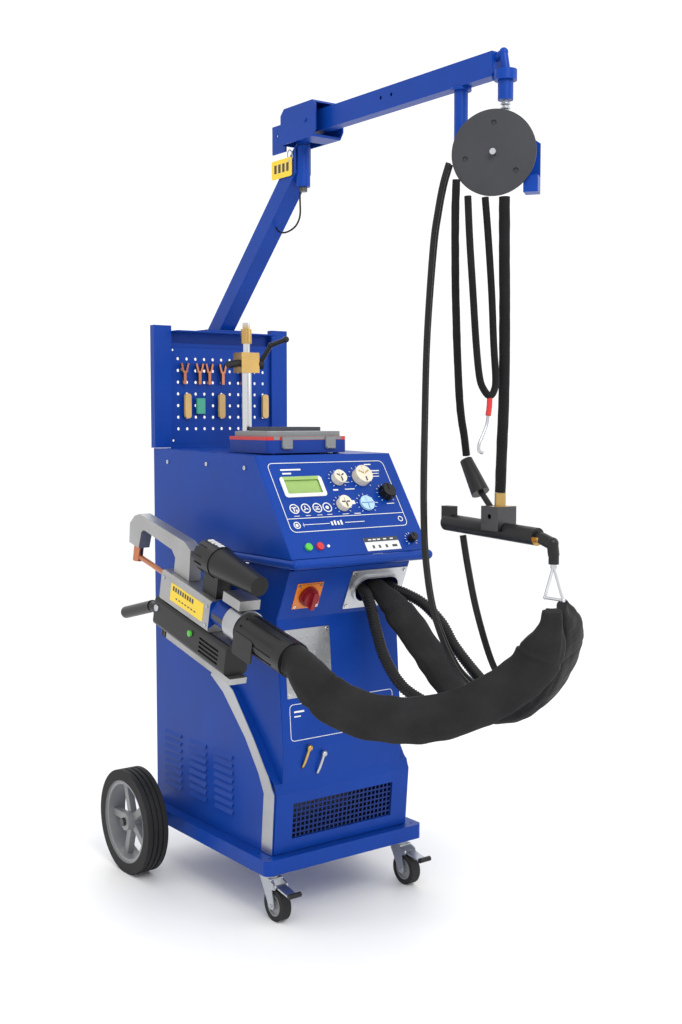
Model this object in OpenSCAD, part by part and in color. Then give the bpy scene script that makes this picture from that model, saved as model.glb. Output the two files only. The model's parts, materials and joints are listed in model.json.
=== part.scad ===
/* [Cabinet] */
// Width across the outer faces of the side panels
cab_w = 392; // [380:1:410]
// Depth coordinate of the rear face
cab_rear = 355; // [345:1:365]
// Height of the console's top edge at the front
console_top = 1052; // [1040:1:1060]
// Height of the lower edge of the sloping console face
console_low = 829; // [820:1:840]
// Sheet thickness of the side panels
side_t = 3; // [2:0.5:4]
// Sheet thickness of the folded panels
sheet_t = 2; // [1.5:0.5:3]

/* [Base and wheels] */
// Width of the base tray
tray_w = 456; // [440:1:470]
// Height of the tray's top face above the floor
tray_top = 145; // [140:1:150]
// Height of the tray's skirt
tray_h = 35; // [30:1:40]
// Radius of the rear wheels
wheel_r = 130; // [120:1:132]
// Width of the rear tyres
wheel_w = 55; // [45:1:60]
// Radius of the front caster wheels
caster_r = 37.5; // [35:0.5:40]

/* [Rack and boom] */
// Height of the top of the rack uprights
rack_top = 1373; // [1360:1:1380]
// Side of the square post tube
post_w = 45; // [40:1:50]
// Height of the boom arm's lower face
arm_z = 1797; // [1790:1:1800]
// Height of the arm's section
arm_h = 48; // [40:1:50]
// Width of the arm's section
arm_w = 28; // [24:1:30]
// Depth coordinate of the arm's tip
arm_tip = -690; // [-695:1:-680]
// Radius of the balancer reel
reel_r = 82; // [75:1:84]

/* [Welding gun] */
// Distance of the gun's centre plane from the cabinet's centre
gun_x = -290; // [-295:1:-285]
// Downward tilt of the gun towards its rear
gun_tilt = 13; // [11:0.5:15]
// Reach of the C arm ahead of the gun body
throat = 200; // [190:1:205]

/* [Hidden] */

$fn = 48;
eps = 0.01;
// The part's origin is the middle of the footprint, which the forward boom shifts ahead
origin_shift = [0, 238, 0];
half_w = cab_w / 2;
inner_w = half_w - side_t - 0.1;
tray_front = -211;
tray_rear = 372;
lip_r = 11.5;
lip_z = console_low - lip_r;
lip_y = -273;
slope_top = [-117, console_top];
slope_low = [-268, console_low];
slope_len = norm(slope_top - slope_low);
slope_angle = atan2(slope_top.y - slope_low.y, slope_top.x - slope_low.x);
column_w = 344;
waist_end = 204;
// Front edge of the side panel from the foot up to the end of the waist
side_edge = [[-184, tray_top + 0.2], [-197, 288], [-170, 330], [-112, 403], [-24, 500], [60, 539],
  [130, 600], [180, 690], [waist_end, 806]];
waist_path = [[-224, 798], [-172, 682], [-196, 384], [-192, 310]];
base_path = [[-192, 310], [-199, 287], [-186, 147]];
ledge_lap = 4;
ledge_drop = sheet_t * [0.6, -0.8];
ledge_path = concat([base_path[0] + [0.6, 0]], [for (i = [2 : len(side_edge) - 1]) side_edge[i]]);
caster_x = 190;
caster_y = -170;
caster_trail = 28;
wheel_x = 333 - wheel_w / 2;
wheel_y = 279;
pivot_y = -34;
post_sum = 1712;
swivel_y = -714;
reel_c = [-18, -706, 1645];
reel_turn = -53.5;
bar_z = 918;
gun_o = [gun_x, -20, 720];

// Folded sheet and swept lines
fold_bead = 0.4;
taper_rings = 4;
// Tray, wheels and casters
tray_wall = 3;
tray_corner = 14;
axle_d = 20;
hub_d = 44;
fork_in = 29;
fork_t = 3;
fork_top = 96;
race_z = 99.6;
kingpin_d = 12;
caster_axle_d = 8;
caster_plate_z = tray_top - tray_wall;
brake_y = -38;
brake_z = fork_top - 14;
brake_pin_d = 7;
// Panels
louvre_rows = 8;
louvre_w = 84;
louvre_h = 6;
louvre_places = [for (y = [266, 144, 22], r = [0 : louvre_rows - 1]) [y, 336 - r * 19]];
trim_t = 1.5;
grille_w = 290;
grille_h = 84;
rear_t = 3;
gland_x = -110;
gland_z = 210;
nipple_x = 110;
fan_z = 430;
fan_shaft_d = 6;
// Console, as distances across and down the slope
knob_places = [[9, 70], [77, 68], [133, 114], [-5, 139], [65, 139], [154, 240]];
button_places = [[-142, 242], [-111, 242]];
display_place = [-94, 86];
// Places across and up the panels below the console, with half the spacing of their screws
outlet_x = 88;
panel_mid = 64;
outlet_screw = [74, 43];
switch_place = [-105, 60];
switch_screw = [30, 27];
chart_place = [-92, 196];
chart_screw = [56, 71];
grille_mid = 72;
// Rack and pegboard
rack_y = 335;
upright_w = 50;
rail_half = 152.8;
board_y = 343;
peg_cols = 11;
peg_rows = 7;
peg_x = 290;
peg_z = 232;
fork_x = [-117, -73, -44, -3, 59];
fork_z = 1255;
handle_x = [-108, -6, 130];
handle_z = 1169;
block_x = -70;
gauge_x = 70;
// Case and puller
case_x = -30;
case_y = -8;
case_w = 228;
case_d = 176;
case_z = console_top + 4.2;
case_h = 30;
hinge_y = case_y + case_d / 2 + 3.4;
hinge_z = case_z + case_h + 0.15;
hinge_pin_d = 3;
stand_x = -45;
stand_y = 150;
lever_z = console_top + 7.5 + 212;
// Boom
pin_d = 20;
hood_z = 1780;
shaft_d = 12;
// Gun, in its own frame: u towards the tail, v up
electrode_d = 13;
electrode_v = 8;
trigger_u = 36;
trigger_v = -64;
trigger_d = 14;
// Soft lines
ribbed_d = 28;
signal_d = 11;
web_d = 16;
supply_d = 22;
loop_d = 14;
upright = [1, 0.3, 0.1];

// Route points of the soft lines, from the fixed end to the end on the boom
sleeve_outlet_path = [[92, -188, 745], [92, -216, 732], [96, -248, 712], [108, -282, 676],
  [132, -316, 622], [150, -348, 574], [158, -400, 528], [160, -470, 502], [160, -550, 500],
  [156, -630, 522], [146, -700, 566],
  [128, -760, 628], [106, -800, 684], [74, -830, 738], [32, -848, 780]];
sleeve_gun_path = [[-290, -412, 642], [-290, -436, 636], [-286, -462, 614], [-268, -500, 580],
  [-234, -545, 553], [-190, -585, 540], [-140, -622, 538], [-90, -662, 548], [-44, -706, 574],
  [-6, -752, 612], [8, -800, 660], [2, -842, 718], [-14, -868, 776]];
ribbed_left_path = [[46, -188, 745], [46, -216, 732], [40, -244, 704], [34, -272, 656], [34, -308, 590],
  [50, -356, 530], [88, -420, 492]];
ribbed_right_path = [[134, -188, 745], [134, -214, 733], [152, -240, 722], [178, -272, 700], [206, -304, 656],
  [222, -330, 606], [236, -376, 556], [236, -430, 522], [230, -470, 508]];
signal_a_path = [
  [-92, -654, 1628], [-98, -644, 1590], [-102, -634, 1540], [-104, -622, 1470], [-106, -608, 1300],
  [-106, -602, 1130], [-106, -600, 960], [-98, -600, 840], [-72, -600, 730], [-6, -590, 620], [70, -580, 556],
  [126, -566, 530]];
signal_b_path = [
  [-78, -644, 1628], [-84, -634, 1590], [-88, -624, 1540], [-90, -612, 1470], [-92, -596, 1300],
  [-92, -590, 1130], [-92, -588, 960], [-84, -588, 840], [-58, -588, 730], [8, -578, 624], [82, -562, 566],
  [128, -548, 536]];
reel_cable_path = [[-82, -666, 1596], [-79, -660, 1520], [-70, -652, 1400], [-54, -640, 1280],
  [-32, -626, 1160],
  [-12, -617, 1100], [-2, -613, 1062]];
loop_hose_path = [[-74, -690, 1562], [-72, -694, 1480], [-68, -700, 1380], [-64, -706, 1280],
  [-60, -712, 1216],
  [-54, -718, 1192], [-42, -722, 1180], [-30, -722, 1192], [-25, -720, 1216], [-27, -716, 1280],
  [-30, -712, 1380], [-34, -706, 1480], [-38, -700, 1562]];
supply_hose_path = [[-12, -726, 1562], [-10, -726, 1440], [-6, -724, 1320], [-2, -720, 1200], [0, -714, 1090],
  [0, -710, 991]];
drop_hose_path = [[0, -602, 898], [6, -612, 830], [22, -622, 740], [56, -628, 640], [92, -632, 576],
  [112, -634, 548]];

/* ---------- helpers ---------- */

module placed() {
  translate(origin_shift) children();
}

// Extrudes a depth-height outline along the width, centred
module across(w) {
  rotate([90, 0, 90]) linear_extrude(height = w, center = true) children();
}

module strip(a, b, t) {
  translate(a) rotate(atan2(b.y - a.y, b.x - a.x)) translate([0, -t / 2]) square([norm(b - a), t]);
}

// A folded sheet drawn as a line of constant thickness, with a slight bead at each fold
module ribbon(points, t) {
  for (i = [0 : len(points) - 2]) strip(points[i], points[i + 1], t);
  for (i = [1 : 1 : len(points) - 2]) translate(points[i]) circle(d = t + fold_bead);
}

module mirror_pair() {
  children();
  mirror([1, 0, 0]) children();
}

module rounded_rect(w, h, r) {
  union() {
    square([w - 2 * r, h], center = true);
    square([w, h - 2 * r], center = true);
    for (x = [-1, 1], y = [-1, 1]) translate([x * (w / 2 - r), y * (h / 2 - r)]) circle(r = r);
  }
}

module rounded_box(w, d, h, r) {
  linear_extrude(height = h) rounded_rect(w, d, r);
}

module rod(a, b, d) {
  v = b - a;
  l = norm(v);
  translate(a) rotate([0, acos(v.z / l), atan2(v.y, v.x)]) cylinder(d = d, h = l);
}

// Places children on the sloping console face: x across, y up the slope, z out of the face
module on_console(x, s) {
  translate([x, slope_top.x, slope_top.y]) rotate([slope_angle, 0, 0]) translate([0, -s, sheet_t / 2])
    children();
}

// Places children on a folded face from point b up to point a: x across, y up the face, z out of it
module on_face(a, b, x, s) {
  translate([x, b.x, b.y]) rotate([atan2(a.y - b.y, a.x - b.x), 0, 0]) translate([0, s, 0]) children();
}
module on_switch_panel(x, s) {
  on_face(waist_path[0], waist_path[1], x, s) translate([0, 0, sheet_t / 2]) children();
}
module on_waist(x, s) {
  on_face(waist_path[1], waist_path[2], x, s) translate([0, 0, sheet_t / 2]) children();
}
module on_base(x, s) {
  on_face(base_path[1], base_path[2], x, s) children();
}

// Places children in the gun's frame: x towards the tail, z up, y across
module on_gun() {
  translate(gun_o) rotate([gun_tilt, 0, 0]) rotate([0, 0, -90]) children();
}

// Tube swept along a route with an elliptical section of w across and t thick
function unit(v) = v / norm(v);
function tangent(p, i) = unit(p[min(i + 1, len(p) - 1)] - p[max(i - 1, 0)]);
// Width and thickness of ring i, which grow from one end's size to the full size over taper_rings rings
function ring_size(i, m, full, first, last) =
  i < taper_rings ? first + (full - first) * i / taper_rings
  : m - 1 - i < taper_rings ? last + (full - last) * (m - 1 - i) / taper_rings : full;
function ring(p, i, size, up, flat, n) =
  let (d = tangent(p, i))
  let (a = is_undef(flat) ? unit(cross(d, up)) : unit(flat - (flat * d) * d))
  let (b = cross(a, d))
  [for (k = [0 : n - 1]) p[i] + a * size.y / 2 * cos(360 * k / n) + b * size.x / 2 * sin(360 * k / n)];
module sweep(path, size, first = undef, last = undef, up = [0.3, 0.2, 1], flat = undef, n = 8) {
  m = len(path);
  start = is_undef(first) ? size : first;
  end = is_undef(last) ? size : last;
  points = [for (i = [0 : m - 1]) each ring(path, i, ring_size(i, m, size, start, end), up, flat, n)];
  sides = [for (i = [0 : m - 2], k = [0 : n - 1]) each [
    [i * n + k, i * n + (k + 1) % n, (i + 1) * n + k],
    [i * n + (k + 1) % n, (i + 1) * n + (k + 1) % n, (i + 1) * n + k]]];
  bottom = [for (k = [1 : n - 2]) [0, k + 1, k]];
  top = [for (k = [1 : n - 2]) [(m - 1) * n, (m - 1) * n + k, (m - 1) * n + k + 1]];
  polyhedron(points = points, faces = concat(sides, bottom, top));
}

/* ---------- base and wheels ---------- */

module base_tray() {
  mid = (tray_front + tray_rear) / 2;
  depth = tray_rear - tray_front;
  color("royalblue") difference() {
    translate([0, mid, tray_top - tray_h]) rounded_box(tray_w, depth, tray_h, tray_corner);
    translate([0, mid, tray_top - tray_h - 1])
      rounded_box(tray_w - 2 * tray_wall, depth - 2 * tray_wall, tray_h - tray_wall + 1,
        tray_corner - tray_wall);
    translate([-tray_w, wheel_y, wheel_r]) rotate([0, 90, 0]) cylinder(d = axle_d + 1, h = 2 * tray_w);
    for (x = [-1, 1], y = [-1, 1], k = [-1, 1])
      translate([x * caster_x + k * 18, caster_y + y * 22, tray_top - 8]) cylinder(d = 6.4, h = 12);
  }
  // Caster mounting plates with the races of their kingpins
  color("silver") for (x = [-1, 1]) translate([x * caster_x, caster_y, 0]) difference() {
    union() {
      translate([0, 0, caster_plate_z - 4]) rounded_plate();
      translate([0, 0, race_z]) cylinder(d = 34, h = caster_plate_z - 3 - race_z);
    }
    translate([0, 0, race_z - 1]) cylinder(d = kingpin_d + 0.1, h = 60);
  }
}

module chassis() {
  base_tray();
  rear_axle();
}
module rear_axle() {
  color("dimgray") {
    rotate([0, 90, 0]) translate([-wheel_r, wheel_y, -wheel_x - wheel_w / 2 - 6])
      cylinder(d = axle_d, h = 2 * wheel_x + wheel_w + 12);
    mirror_pair() {
      translate([tray_w / 2 + 1, wheel_y, wheel_r]) rotate([0, 90, 0])
        difference() {
          cylinder(d = 30, h = wheel_x - wheel_w / 2 - tray_w / 2 - 7);
          translate([0, 0, -1]) cylinder(d = axle_d, h = 200);
        }
      difference() {
        translate([150, wheel_y - 22, tray_top - tray_wall - 30]) cube([30, 44, 30]);
        translate([140, wheel_y, wheel_r]) rotate([0, 90, 0]) cylinder(d = axle_d, h = 60);
      }
    }
  }
}

module rear_wheel(side) {
  spokes = 5;
  groove_count = 3;
  translate([side * wheel_x, wheel_y, wheel_r]) rotate([0, 90, 0]) {
    color("dimgray") difference() {
      cylinder(r = wheel_r, h = wheel_w, center = true, $fn = 96);
      translate([0, 0, -wheel_w]) cylinder(r = wheel_r - 27, h = 2 * wheel_w);
      for (k = [-1 : groove_count - 2]) rotate_extrude()
        translate([wheel_r - 4, k * 13 - 2]) square([8, 4]);
    }
    color("darkgray") difference() {
      union() {
        difference() {
          cylinder(r = wheel_r - 27, h = wheel_w - 8, center = true);
          cylinder(r = wheel_r - 37, h = wheel_w, center = true);
        }
        cylinder(d = hub_d, h = wheel_w - 4, center = true);
        for (a = [0 : spokes - 1]) rotate([0, 0, 90 + a * 360 / spokes])
          translate([hub_d / 2 - 4, -9, -8]) cube([wheel_r - 37 - hub_d / 2 + 8, 18, 16]);
      }
      cylinder(d = axle_d + 0.1, h = 2 * wheel_w, center = true);
    }
  }
}
module rear_wheel_left() { rear_wheel(-1); }
module rear_wheel_right() { rear_wheel(1); }

module caster_fork(side) {
  color("silver") translate([side * caster_x, caster_y, 0]) {
    translate([0, 0, fork_top - eps]) cylinder(d = 40, h = 3.2);
    translate([0, 0, fork_top - eps]) cylinder(d = kingpin_d, h = 38);
    translate([-fork_in / 2 - fork_t, -24, fork_top - fork_t]) cube([fork_in + 2 * fork_t, 44, fork_t]);
    difference() {
      for (k = [-1, 1]) translate([k * (fork_in + fork_t) / 2, 0, 0]) across(fork_t)
        polygon([[20, fork_top], [-24, fork_top], [-caster_trail - 11, caster_r],
          [-caster_trail - 6, caster_r - 9], [-caster_trail + 8, caster_r - 9]]);
      translate([0, -caster_trail, caster_r]) rotate([0, 90, 0])
        cylinder(d = caster_axle_d, h = 60, center = true);
    }
    // Ears that carry the brake pedal's pin
    for (k = [-1, 1]) translate([k * (fork_in + fork_t) / 2, 0, 0]) across(fork_t) difference() {
      union() {
        translate([brake_y, brake_z]) circle(d = 13);
        polygon([[-24, fork_top - fork_t], [-22, fork_top - 22], [brake_y, brake_z - 6.5],
          [brake_y, brake_z + 6.5]]);
      }
      translate([brake_y, brake_z]) circle(d = brake_pin_d + 0.1);
    }
    translate([0, -caster_trail, caster_r]) rotate([0, 90, 0])
      cylinder(d = caster_axle_d, h = fork_in + 2 * fork_t + 8, center = true);
  }
}
module rounded_plate() {
  difference() {
    rounded_box(60, 66, 4, 6);
    for (k = [-1, 1], y = [-1, 1]) translate([k * 18, y * 22, -1]) cylinder(d = 6.4, h = 6);
  }
}
module caster_fork_left() { caster_fork(-1); }
module caster_fork_right() { caster_fork(1); }

module caster_wheel(side) {
  translate([side * caster_x, caster_y - caster_trail, caster_r]) rotate([0, 90, 0]) {
    color("dimgray") difference() {
      cylinder(r = caster_r, h = 24, center = true);
      cylinder(r = caster_r - 12, h = 30, center = true);
    }
    color("lightgray") difference() {
      cylinder(r = caster_r - 12, h = 22, center = true);
      cylinder(d = caster_axle_d + 0.1, h = 40, center = true);
      for (k = [-1, 1]) translate([0, 0, k * 11]) difference() {
        cylinder(r = caster_r - 15, h = 8, center = true);
        cylinder(d = 18, h = 10, center = true);
      }
    }
  }
}
module caster_wheel_left() { caster_wheel(-1); }
module caster_wheel_right() { caster_wheel(1); }

module caster_brake(side) {
  pin_y = brake_y;
  pin_z = brake_z;
  color("lightgray") translate([side * caster_x, caster_y, 0]) {
    translate([0, pin_y, pin_z]) rotate([0, 90, 0])
      cylinder(d = brake_pin_d, h = fork_in + 2 * fork_t + 4, center = true);
    across(fork_in - 4) polygon([[pin_y, pin_z + 3], [pin_y - 50, pin_z - 6], [pin_y - 60, pin_z - 4],
      [pin_y - 60, pin_z - 8], [pin_y - 50, pin_z - 10], [pin_y, pin_z - 2]]);
  }
}
module caster_brake_left() { caster_brake(-1); }
module caster_brake_right() { caster_brake(1); }

/* ---------- cabinet ---------- */

module side_outline() {
  polygon(concat([[cab_rear, tray_top + 0.2]], side_edge, [[waist_end, console_low], slope_low, slope_top,
    [cab_rear, console_top + 9]]));
}

module side_panel() {
  translate([half_w - side_t / 2, 0, 0]) across(side_t) difference() {
    side_outline();
    for (p = louvre_places) translate(p) square([louvre_w - 4, louvre_h], center = true);
  }
  // Pressed hood over each slot, open downwards
  for (p = louvre_places) translate([half_w, p.x, p.y]) rotate([90, 0, 0])
    linear_extrude(height = louvre_w, center = true)
      polygon([[-1.5, louvre_h / 2], [-1.5, louvre_h], [0, louvre_h], [5, -louvre_h / 2],
        [5, -louvre_h / 2 - 2]]);
}
module side_panel_right() { color("royalblue") side_panel(); }
module side_panel_left() {
  color("royalblue") mirror([1, 0, 0]) side_panel();
  gun_cradle();
}

module side_trims() {
  color("silver") mirror_pair() translate([half_w + trim_t / 2, 0, 0]) across(trim_t)
    polygon([[-184, 147], [-196, 288], [-169, 330], [-111, 403], [-23, 499], [60, 538], [78, 520],
      [22, 488], [-76, 397], [-132, 326], [-154, 284], [-142, 147]]);
}

module front_panel() {
  color("royalblue") {
    difference() {
      union() {
        across(column_w) ribbon(waist_path, sheet_t);
        across(2 * inner_w) ribbon(base_path, sheet_t);
        across(2 * inner_w) translate(base_path[0]) circle(d = sheet_t + 2 * fold_bead);
      }
      on_base(0, grille_mid) cube([grille_w, grille_h, 12], center = true);
      on_switch_panel(outlet_x, panel_mid) linear_extrude(height = 12, center = true)
        rounded_rect(126, 62, 30);
      on_switch_panel(switch_place.x, switch_place.y) cylinder(d = 12.1, h = 12, center = true);
    }
    mirror_pair() {
      // Cheek that closes the waist, and the ledge under it
      difference() {
        translate([column_w / 2 - 1, -190, 300])
          rotate([0, 0, -atan2(inner_w - column_w / 2, waist_end + 190)]) translate([0, -60, 0]) cube([sheet_t, waist_end + 248, 502]);
        across(600) polygon(concat([[-400, 802], [waist_path[0].x, 802]], waist_path, [[-400, 310]]));
        across(600) polygon(concat([[-400, 200]], ledge_path, [[waist_end, 200]]));
      }
      translate([(column_w / 2 - ledge_lap + inner_w) / 2, 0, 0]) across(inner_w - column_w / 2 + ledge_lap)
        polygon(concat(ledge_path, [for (i = [len(ledge_path) - 1 : -1 : 0]) ledge_path[i] + ledge_drop]));
    }
  }
}

module front_grille() {
  cols = 24;
  rows = 7;
  pitch = 12;
  color("navy") on_base(0, grille_mid) translate([0, 0, -3.4]) linear_extrude(height = 1.2) difference() {
    square([grille_w + 14, grille_h + 12], center = true);
    for (i = [0 : cols - 1], j = [0 : rows - 1])
      translate([(i - (cols - 1) / 2) * pitch, (j - (rows - 1) / 2) * pitch]) square(8, center = true);
  }
}

module rear_panel() {
  color("royalblue") difference() {
    translate([-inner_w, cab_rear - rear_t, tray_top + 0.3])
      cube([2 * inner_w, rear_t, console_top + 6 - tray_top]);
    translate([0, cab_rear - 10, 430]) rotate([-90, 0, 0]) for (r = [0 : 3], k = [0 : 3])
      rotate([0, 0, k * 90]) rotate_extrude(angle = 70) translate([22 + r * 18, 0]) square([9, 20]);
    for (r = [0 : 7]) translate([-90, cab_rear - 10, 720 + r * 22]) cube([180, 20, 9]);
    translate([gland_x, cab_rear - 10, gland_z]) rotate([-90, 0, 0]) cylinder(d = 25, h = 20);
    translate([nipple_x, cab_rear - 10, gland_z]) rotate([-90, 0, 0]) cylinder(d = 14, h = 20);
  }
  color("dimgray") translate([0, cab_rear - rear_t + eps, fan_z]) rotate([90, 0, 0]) difference() {
    cylinder(d = 40, h = 20);
    translate([0, 0, 8]) cylinder(d = fan_shaft_d + 0.1, h = 20);
  }
  // Mains cable gland with an open bore, and the air inlet's nipple
  color("dimgray") difference() {
    translate([gland_x, cab_rear, gland_z]) rotate([-90, 0, 0]) union() {
      cylinder(d = 36, h = 8, $fn = 6);
      cylinder(d = 28, h = 26);
    }
    translate([gland_x, cab_rear - 1, gland_z]) rotate([-90, 0, 0]) cylinder(d = 14, h = 40);
  }
  color("goldenrod") translate([nipple_x, cab_rear, gland_z]) rotate([-90, 0, 0]) difference() {
    union() {
      cylinder(d = 20, h = 6, $fn = 6);
      cylinder(d = 10, h = 34);
    }
    translate([0, 0, 4]) cylinder(d = 6, h = 40);
  }
}

module console_shell() {
  lip_back = [waist_path[0].x + 2, waist_path[0].y + 6];
  color("royalblue") difference() {
    union() {
      across(2 * inner_w) {
        ribbon([[cab_rear - rear_t - 2, console_top + 8], slope_top - [0, 1], slope_low + [1, 0]], sheet_t);
        ribbon([[lip_y, lip_z], lip_back], sheet_t);
      }
      for (k = [-1, 1]) translate([k * (half_w - lip_r + 4), lip_y, lip_z]) {
        sphere(r = lip_r);
        rotate([-90, 0, 0]) cylinder(r = lip_r, h = waist_end - lip_y - 12);
      }
      translate([0, lip_y, lip_z]) rotate([0, 90, 0])
        cylinder(r = lip_r, h = cab_w - 2 * lip_r + 8, center = true);
    }
    // Bores for the spindles, buttons and the display's window
    for (p = knob_places) on_console(p.x, p.y) cylinder(d = 8.1, h = 20, center = true);
    for (p = button_places) on_console(p.x, p.y) cylinder(d = 18.1, h = 20, center = true);
    on_console(display_place.x, display_place.y) cube([100, 40, 20], center = true);
  }
}

module lcd_display() {
  color("yellowgreen") on_console(display_place.x, display_place.y) translate([0, 0, -6])
    cube([99, 39, 8], center = true);
  color("white") on_console(display_place.x, display_place.y) linear_extrude(height = 2) difference() {
    rounded_rect(116, 54, 8);
    rounded_rect(96, 36, 3);
  }
}

module spindle_knob(i, d, h, steps, colour) {
  color(colour) on_console(knob_places[i].x, knob_places[i].y) {
    translate([0, 0, -16]) cylinder(d = 8, h = 18);
    translate([0, 0, 1]) cylinder(d = d, h = h, $fn = steps);
    translate([-1.5, 0, h + 1 - eps]) cube([3, d / 2 - 1, 1.5]);
  }
}
module mode_knob() { spindle_knob(0, 34, 16, 48, "antiquewhite"); }
module power_knob() { spindle_knob(1, 46, 20, 48, "antiquewhite"); }
module time_knob() { spindle_knob(2, 34, 20, 48, "dimgray"); }
module program_knob() { spindle_knob(3, 34, 16, 48, "antiquewhite"); }
module dial_disc() { spindle_knob(4, 38, 6, 48, "lightblue"); }
module pressure_knob() { spindle_knob(5, 20, 16, 48, "dimgray"); }

module push_button(i, colour) {
  color(colour) on_console(button_places[i].x, button_places[i].y) translate([0, 0, -10]) {
    cylinder(d = 18, h = 15);
    cylinder(d = 22, h = 3);
  }
}
module start_button() { push_button(0, "limegreen"); }
module stop_button() { push_button(1, "red"); }

module switch_plate() {
  color("orange") on_switch_panel(switch_place.x, switch_place.y) linear_extrude(height = 1.5) difference() {
    square([72, 66], center = true);
    circle(d = 12.1);
    for (x = [-1, 1], y = [-1, 1]) translate([x * switch_screw.x, y * switch_screw.y]) circle(d = 4);
  }
}

module main_switch_knob() {
  color("firebrick") on_switch_panel(switch_place.x, switch_place.y) translate([0, 0, -14]) {
    cylinder(d = 12, h = 18);
    translate([0, 0, 16]) cylinder(d = 48, h = 8);
    translate([0, 0, 24 - eps]) cylinder(d = 40, h = 10);
    translate([-5, -22, 34 - 2 * eps]) cube([10, 44, 10]);
  }
}

module face_plates() {
  outlet_plate();
  tip_chart_plate();
}
module outlet_plate() {
  color("silver") on_switch_panel(outlet_x, panel_mid) {
    linear_extrude(height = 3) difference() {
      rounded_rect(164, 102, 4);
      rounded_rect(124, 60, 29);
      for (x = [-1, 1], y = [-1, 1]) translate([x * outlet_screw.x, y * outlet_screw.y]) circle(d = 5);
    }
    // Raised lip around the slot
    linear_extrude(height = 9) difference() {
      rounded_rect(134, 70, 34);
      rounded_rect(124, 60, 29);
    }
  }
}

module tip_chart_plate() {
  color("silver") on_waist(chart_place.x, chart_place.y) {
    linear_extrude(height = 1.5) difference() {
      rounded_rect(126, 156, 3);
      for (x = [-1, 1], y = [-1, 1]) translate([x * chart_screw.x, y * chart_screw.y]) circle(d = 4);
    }
    // Rows of studs
    for (i = [0 : 4], j = [0 : 6]) translate([i * 17 - 48, j * 19 - 56, 1.5 - eps]) cylinder(d = 7, h = 1.8);
  }
}

/* ---------- rack, pegboard and what they carry ---------- */

module tool_rack() {
  rack_frame();
  pegboard();
}
module rack_frame() {
  color("royalblue") {
    mirror_pair() translate([203 - upright_w / 2, 345, console_top + 10])
      linear_extrude(height = rack_top - console_top - 10) difference() {
        square([upright_w, 20], center = true);
        translate([0, 4]) square([upright_w - 6, 20], center = true);
      }
    across(2 * rail_half) difference() {
      translate([rack_y - 35, 1328]) square([55, 32]);
      translate([rack_y - 36, 1325]) square([53, 32]);
    }
  }
}

module pegboard() {
  color("royalblue") translate([0, 346, 1196]) rotate([90, 0, 0]) linear_extrude(height = 3) difference() {
    square([305, 250], center = true);
    for (i = [0 : peg_cols - 1], j = [0 : peg_rows - 1])
      translate([(i - 5) * 26, (j - 3) * 30 + 4]) circle(d = 8);
    for (x = [-1, 1], y = [-1, 1]) translate([x * peg_x / 2, y * peg_z / 2]) circle(d = 6);
  }
}

// Spare electrode forks and hand tools that hang on the pegboard
module fork_outline() {
  translate([-4, -30]) square([8, 34]);
  translate([-4, 0]) rotate(14) translate([-2.5, 0]) square([5, 24]);
  translate([4, 0]) rotate(-14) translate([-2.5, 0]) square([5, 24]);
}
module hung(x, z) {
  translate([x, board_y, z]) {
    rotate([90, 0, 0]) cylinder(d = 5, h = 12);
    translate([0, -6, 0]) rotate([90, 0, 0]) linear_extrude(height = 8) children();
  }
}
module electrode_set() {
  color("peru") for (x = fork_x) hung(x, fork_z) fork_outline();
  color("khaki") for (x = handle_x) hung(x, handle_z) rounded_rect(18, 64, 8);
  color("seagreen") hung(block_x, handle_z) square([24, 40], center = true);
  color("black") hung(gauge_x, handle_z) rounded_rect(12, 60, 5);
}

module boom_post() {
  color("royalblue") {
    translate([-58, 308, 1360.2]) cube([116, 66, 6]);
    difference() {
      union() {
        translate([0, post_sum - 1300, 1300]) rotate([45, 0, 0]) linear_extrude(height = 660) difference() {
          square(post_w, center = true);
          square(post_w - 6, center = true);
        }
        translate([0, pivot_y, 1683]) cylinder(d = 34, h = 95);
      }
      translate([-100, 200, 1200]) cube([200, 400, 166.2]);
      translate([-100, pivot_y - 500, 1600]) cube([200, 500, 83]);
      translate([-100, pivot_y - 500, 1600]) difference() {
        cube([200, 500, 300]);
        translate([100, 500, -1]) cylinder(d = 34, h = 400);
      }
      translate([-100, -200, 1778]) cube([200, 400, 200]);
      translate([0, pivot_y, 1600]) cylinder(d = pin_d + 0.1, h = 300);
    }
  }
}

/* ---------- inside the cabinet ---------- */

// Welding transformer with its coils, the inverter's heat sink on legs above it, and the coolant tank
module power_unit() {
  transformer();
  inverter();
  coolant_tank();
}

module transformer() {
  color("dimgray") translate([10, 170, tray_top + 0.2]) {
    difference() {
      translate([-90, -75, 0]) cube([180, 150, 150]);
      for (k = [-1, 1]) translate([k * 36 - 20, -80, 30]) cube([40, 160, 90]);
    }
  }
  color("peru") translate([10, 170, tray_top + 0.2]) for (k = [-1, 1])
    translate([k * 36, 0, 75]) cube([39, 190, 89], center = true);
}

module coolant_tank() {
  color("white") translate([0, -40, tray_top + 0.2]) difference() {
    translate([-150, -60, 0]) cube([300, 120, 130]);
    translate([-146, -56, 4]) cube([292, 112, 130]);
  }
  color("silver") translate([-120, -95, tray_top + 12]) cube([240, 24, 90]);
}

module inverter() {
  color("silver") translate([-120, 120, 560]) {
    cube([240, 200, 8]);
    for (i = [0 : 11]) translate([i * 20 + 4, 0, 8 - eps]) cube([3, 200, 32]);
    translate([0, 196, -415 + 0.2]) cube([30, 4, 415]);
    translate([210, 196, -415 + 0.2]) cube([30, 4, 415]);
  }
}

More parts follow.
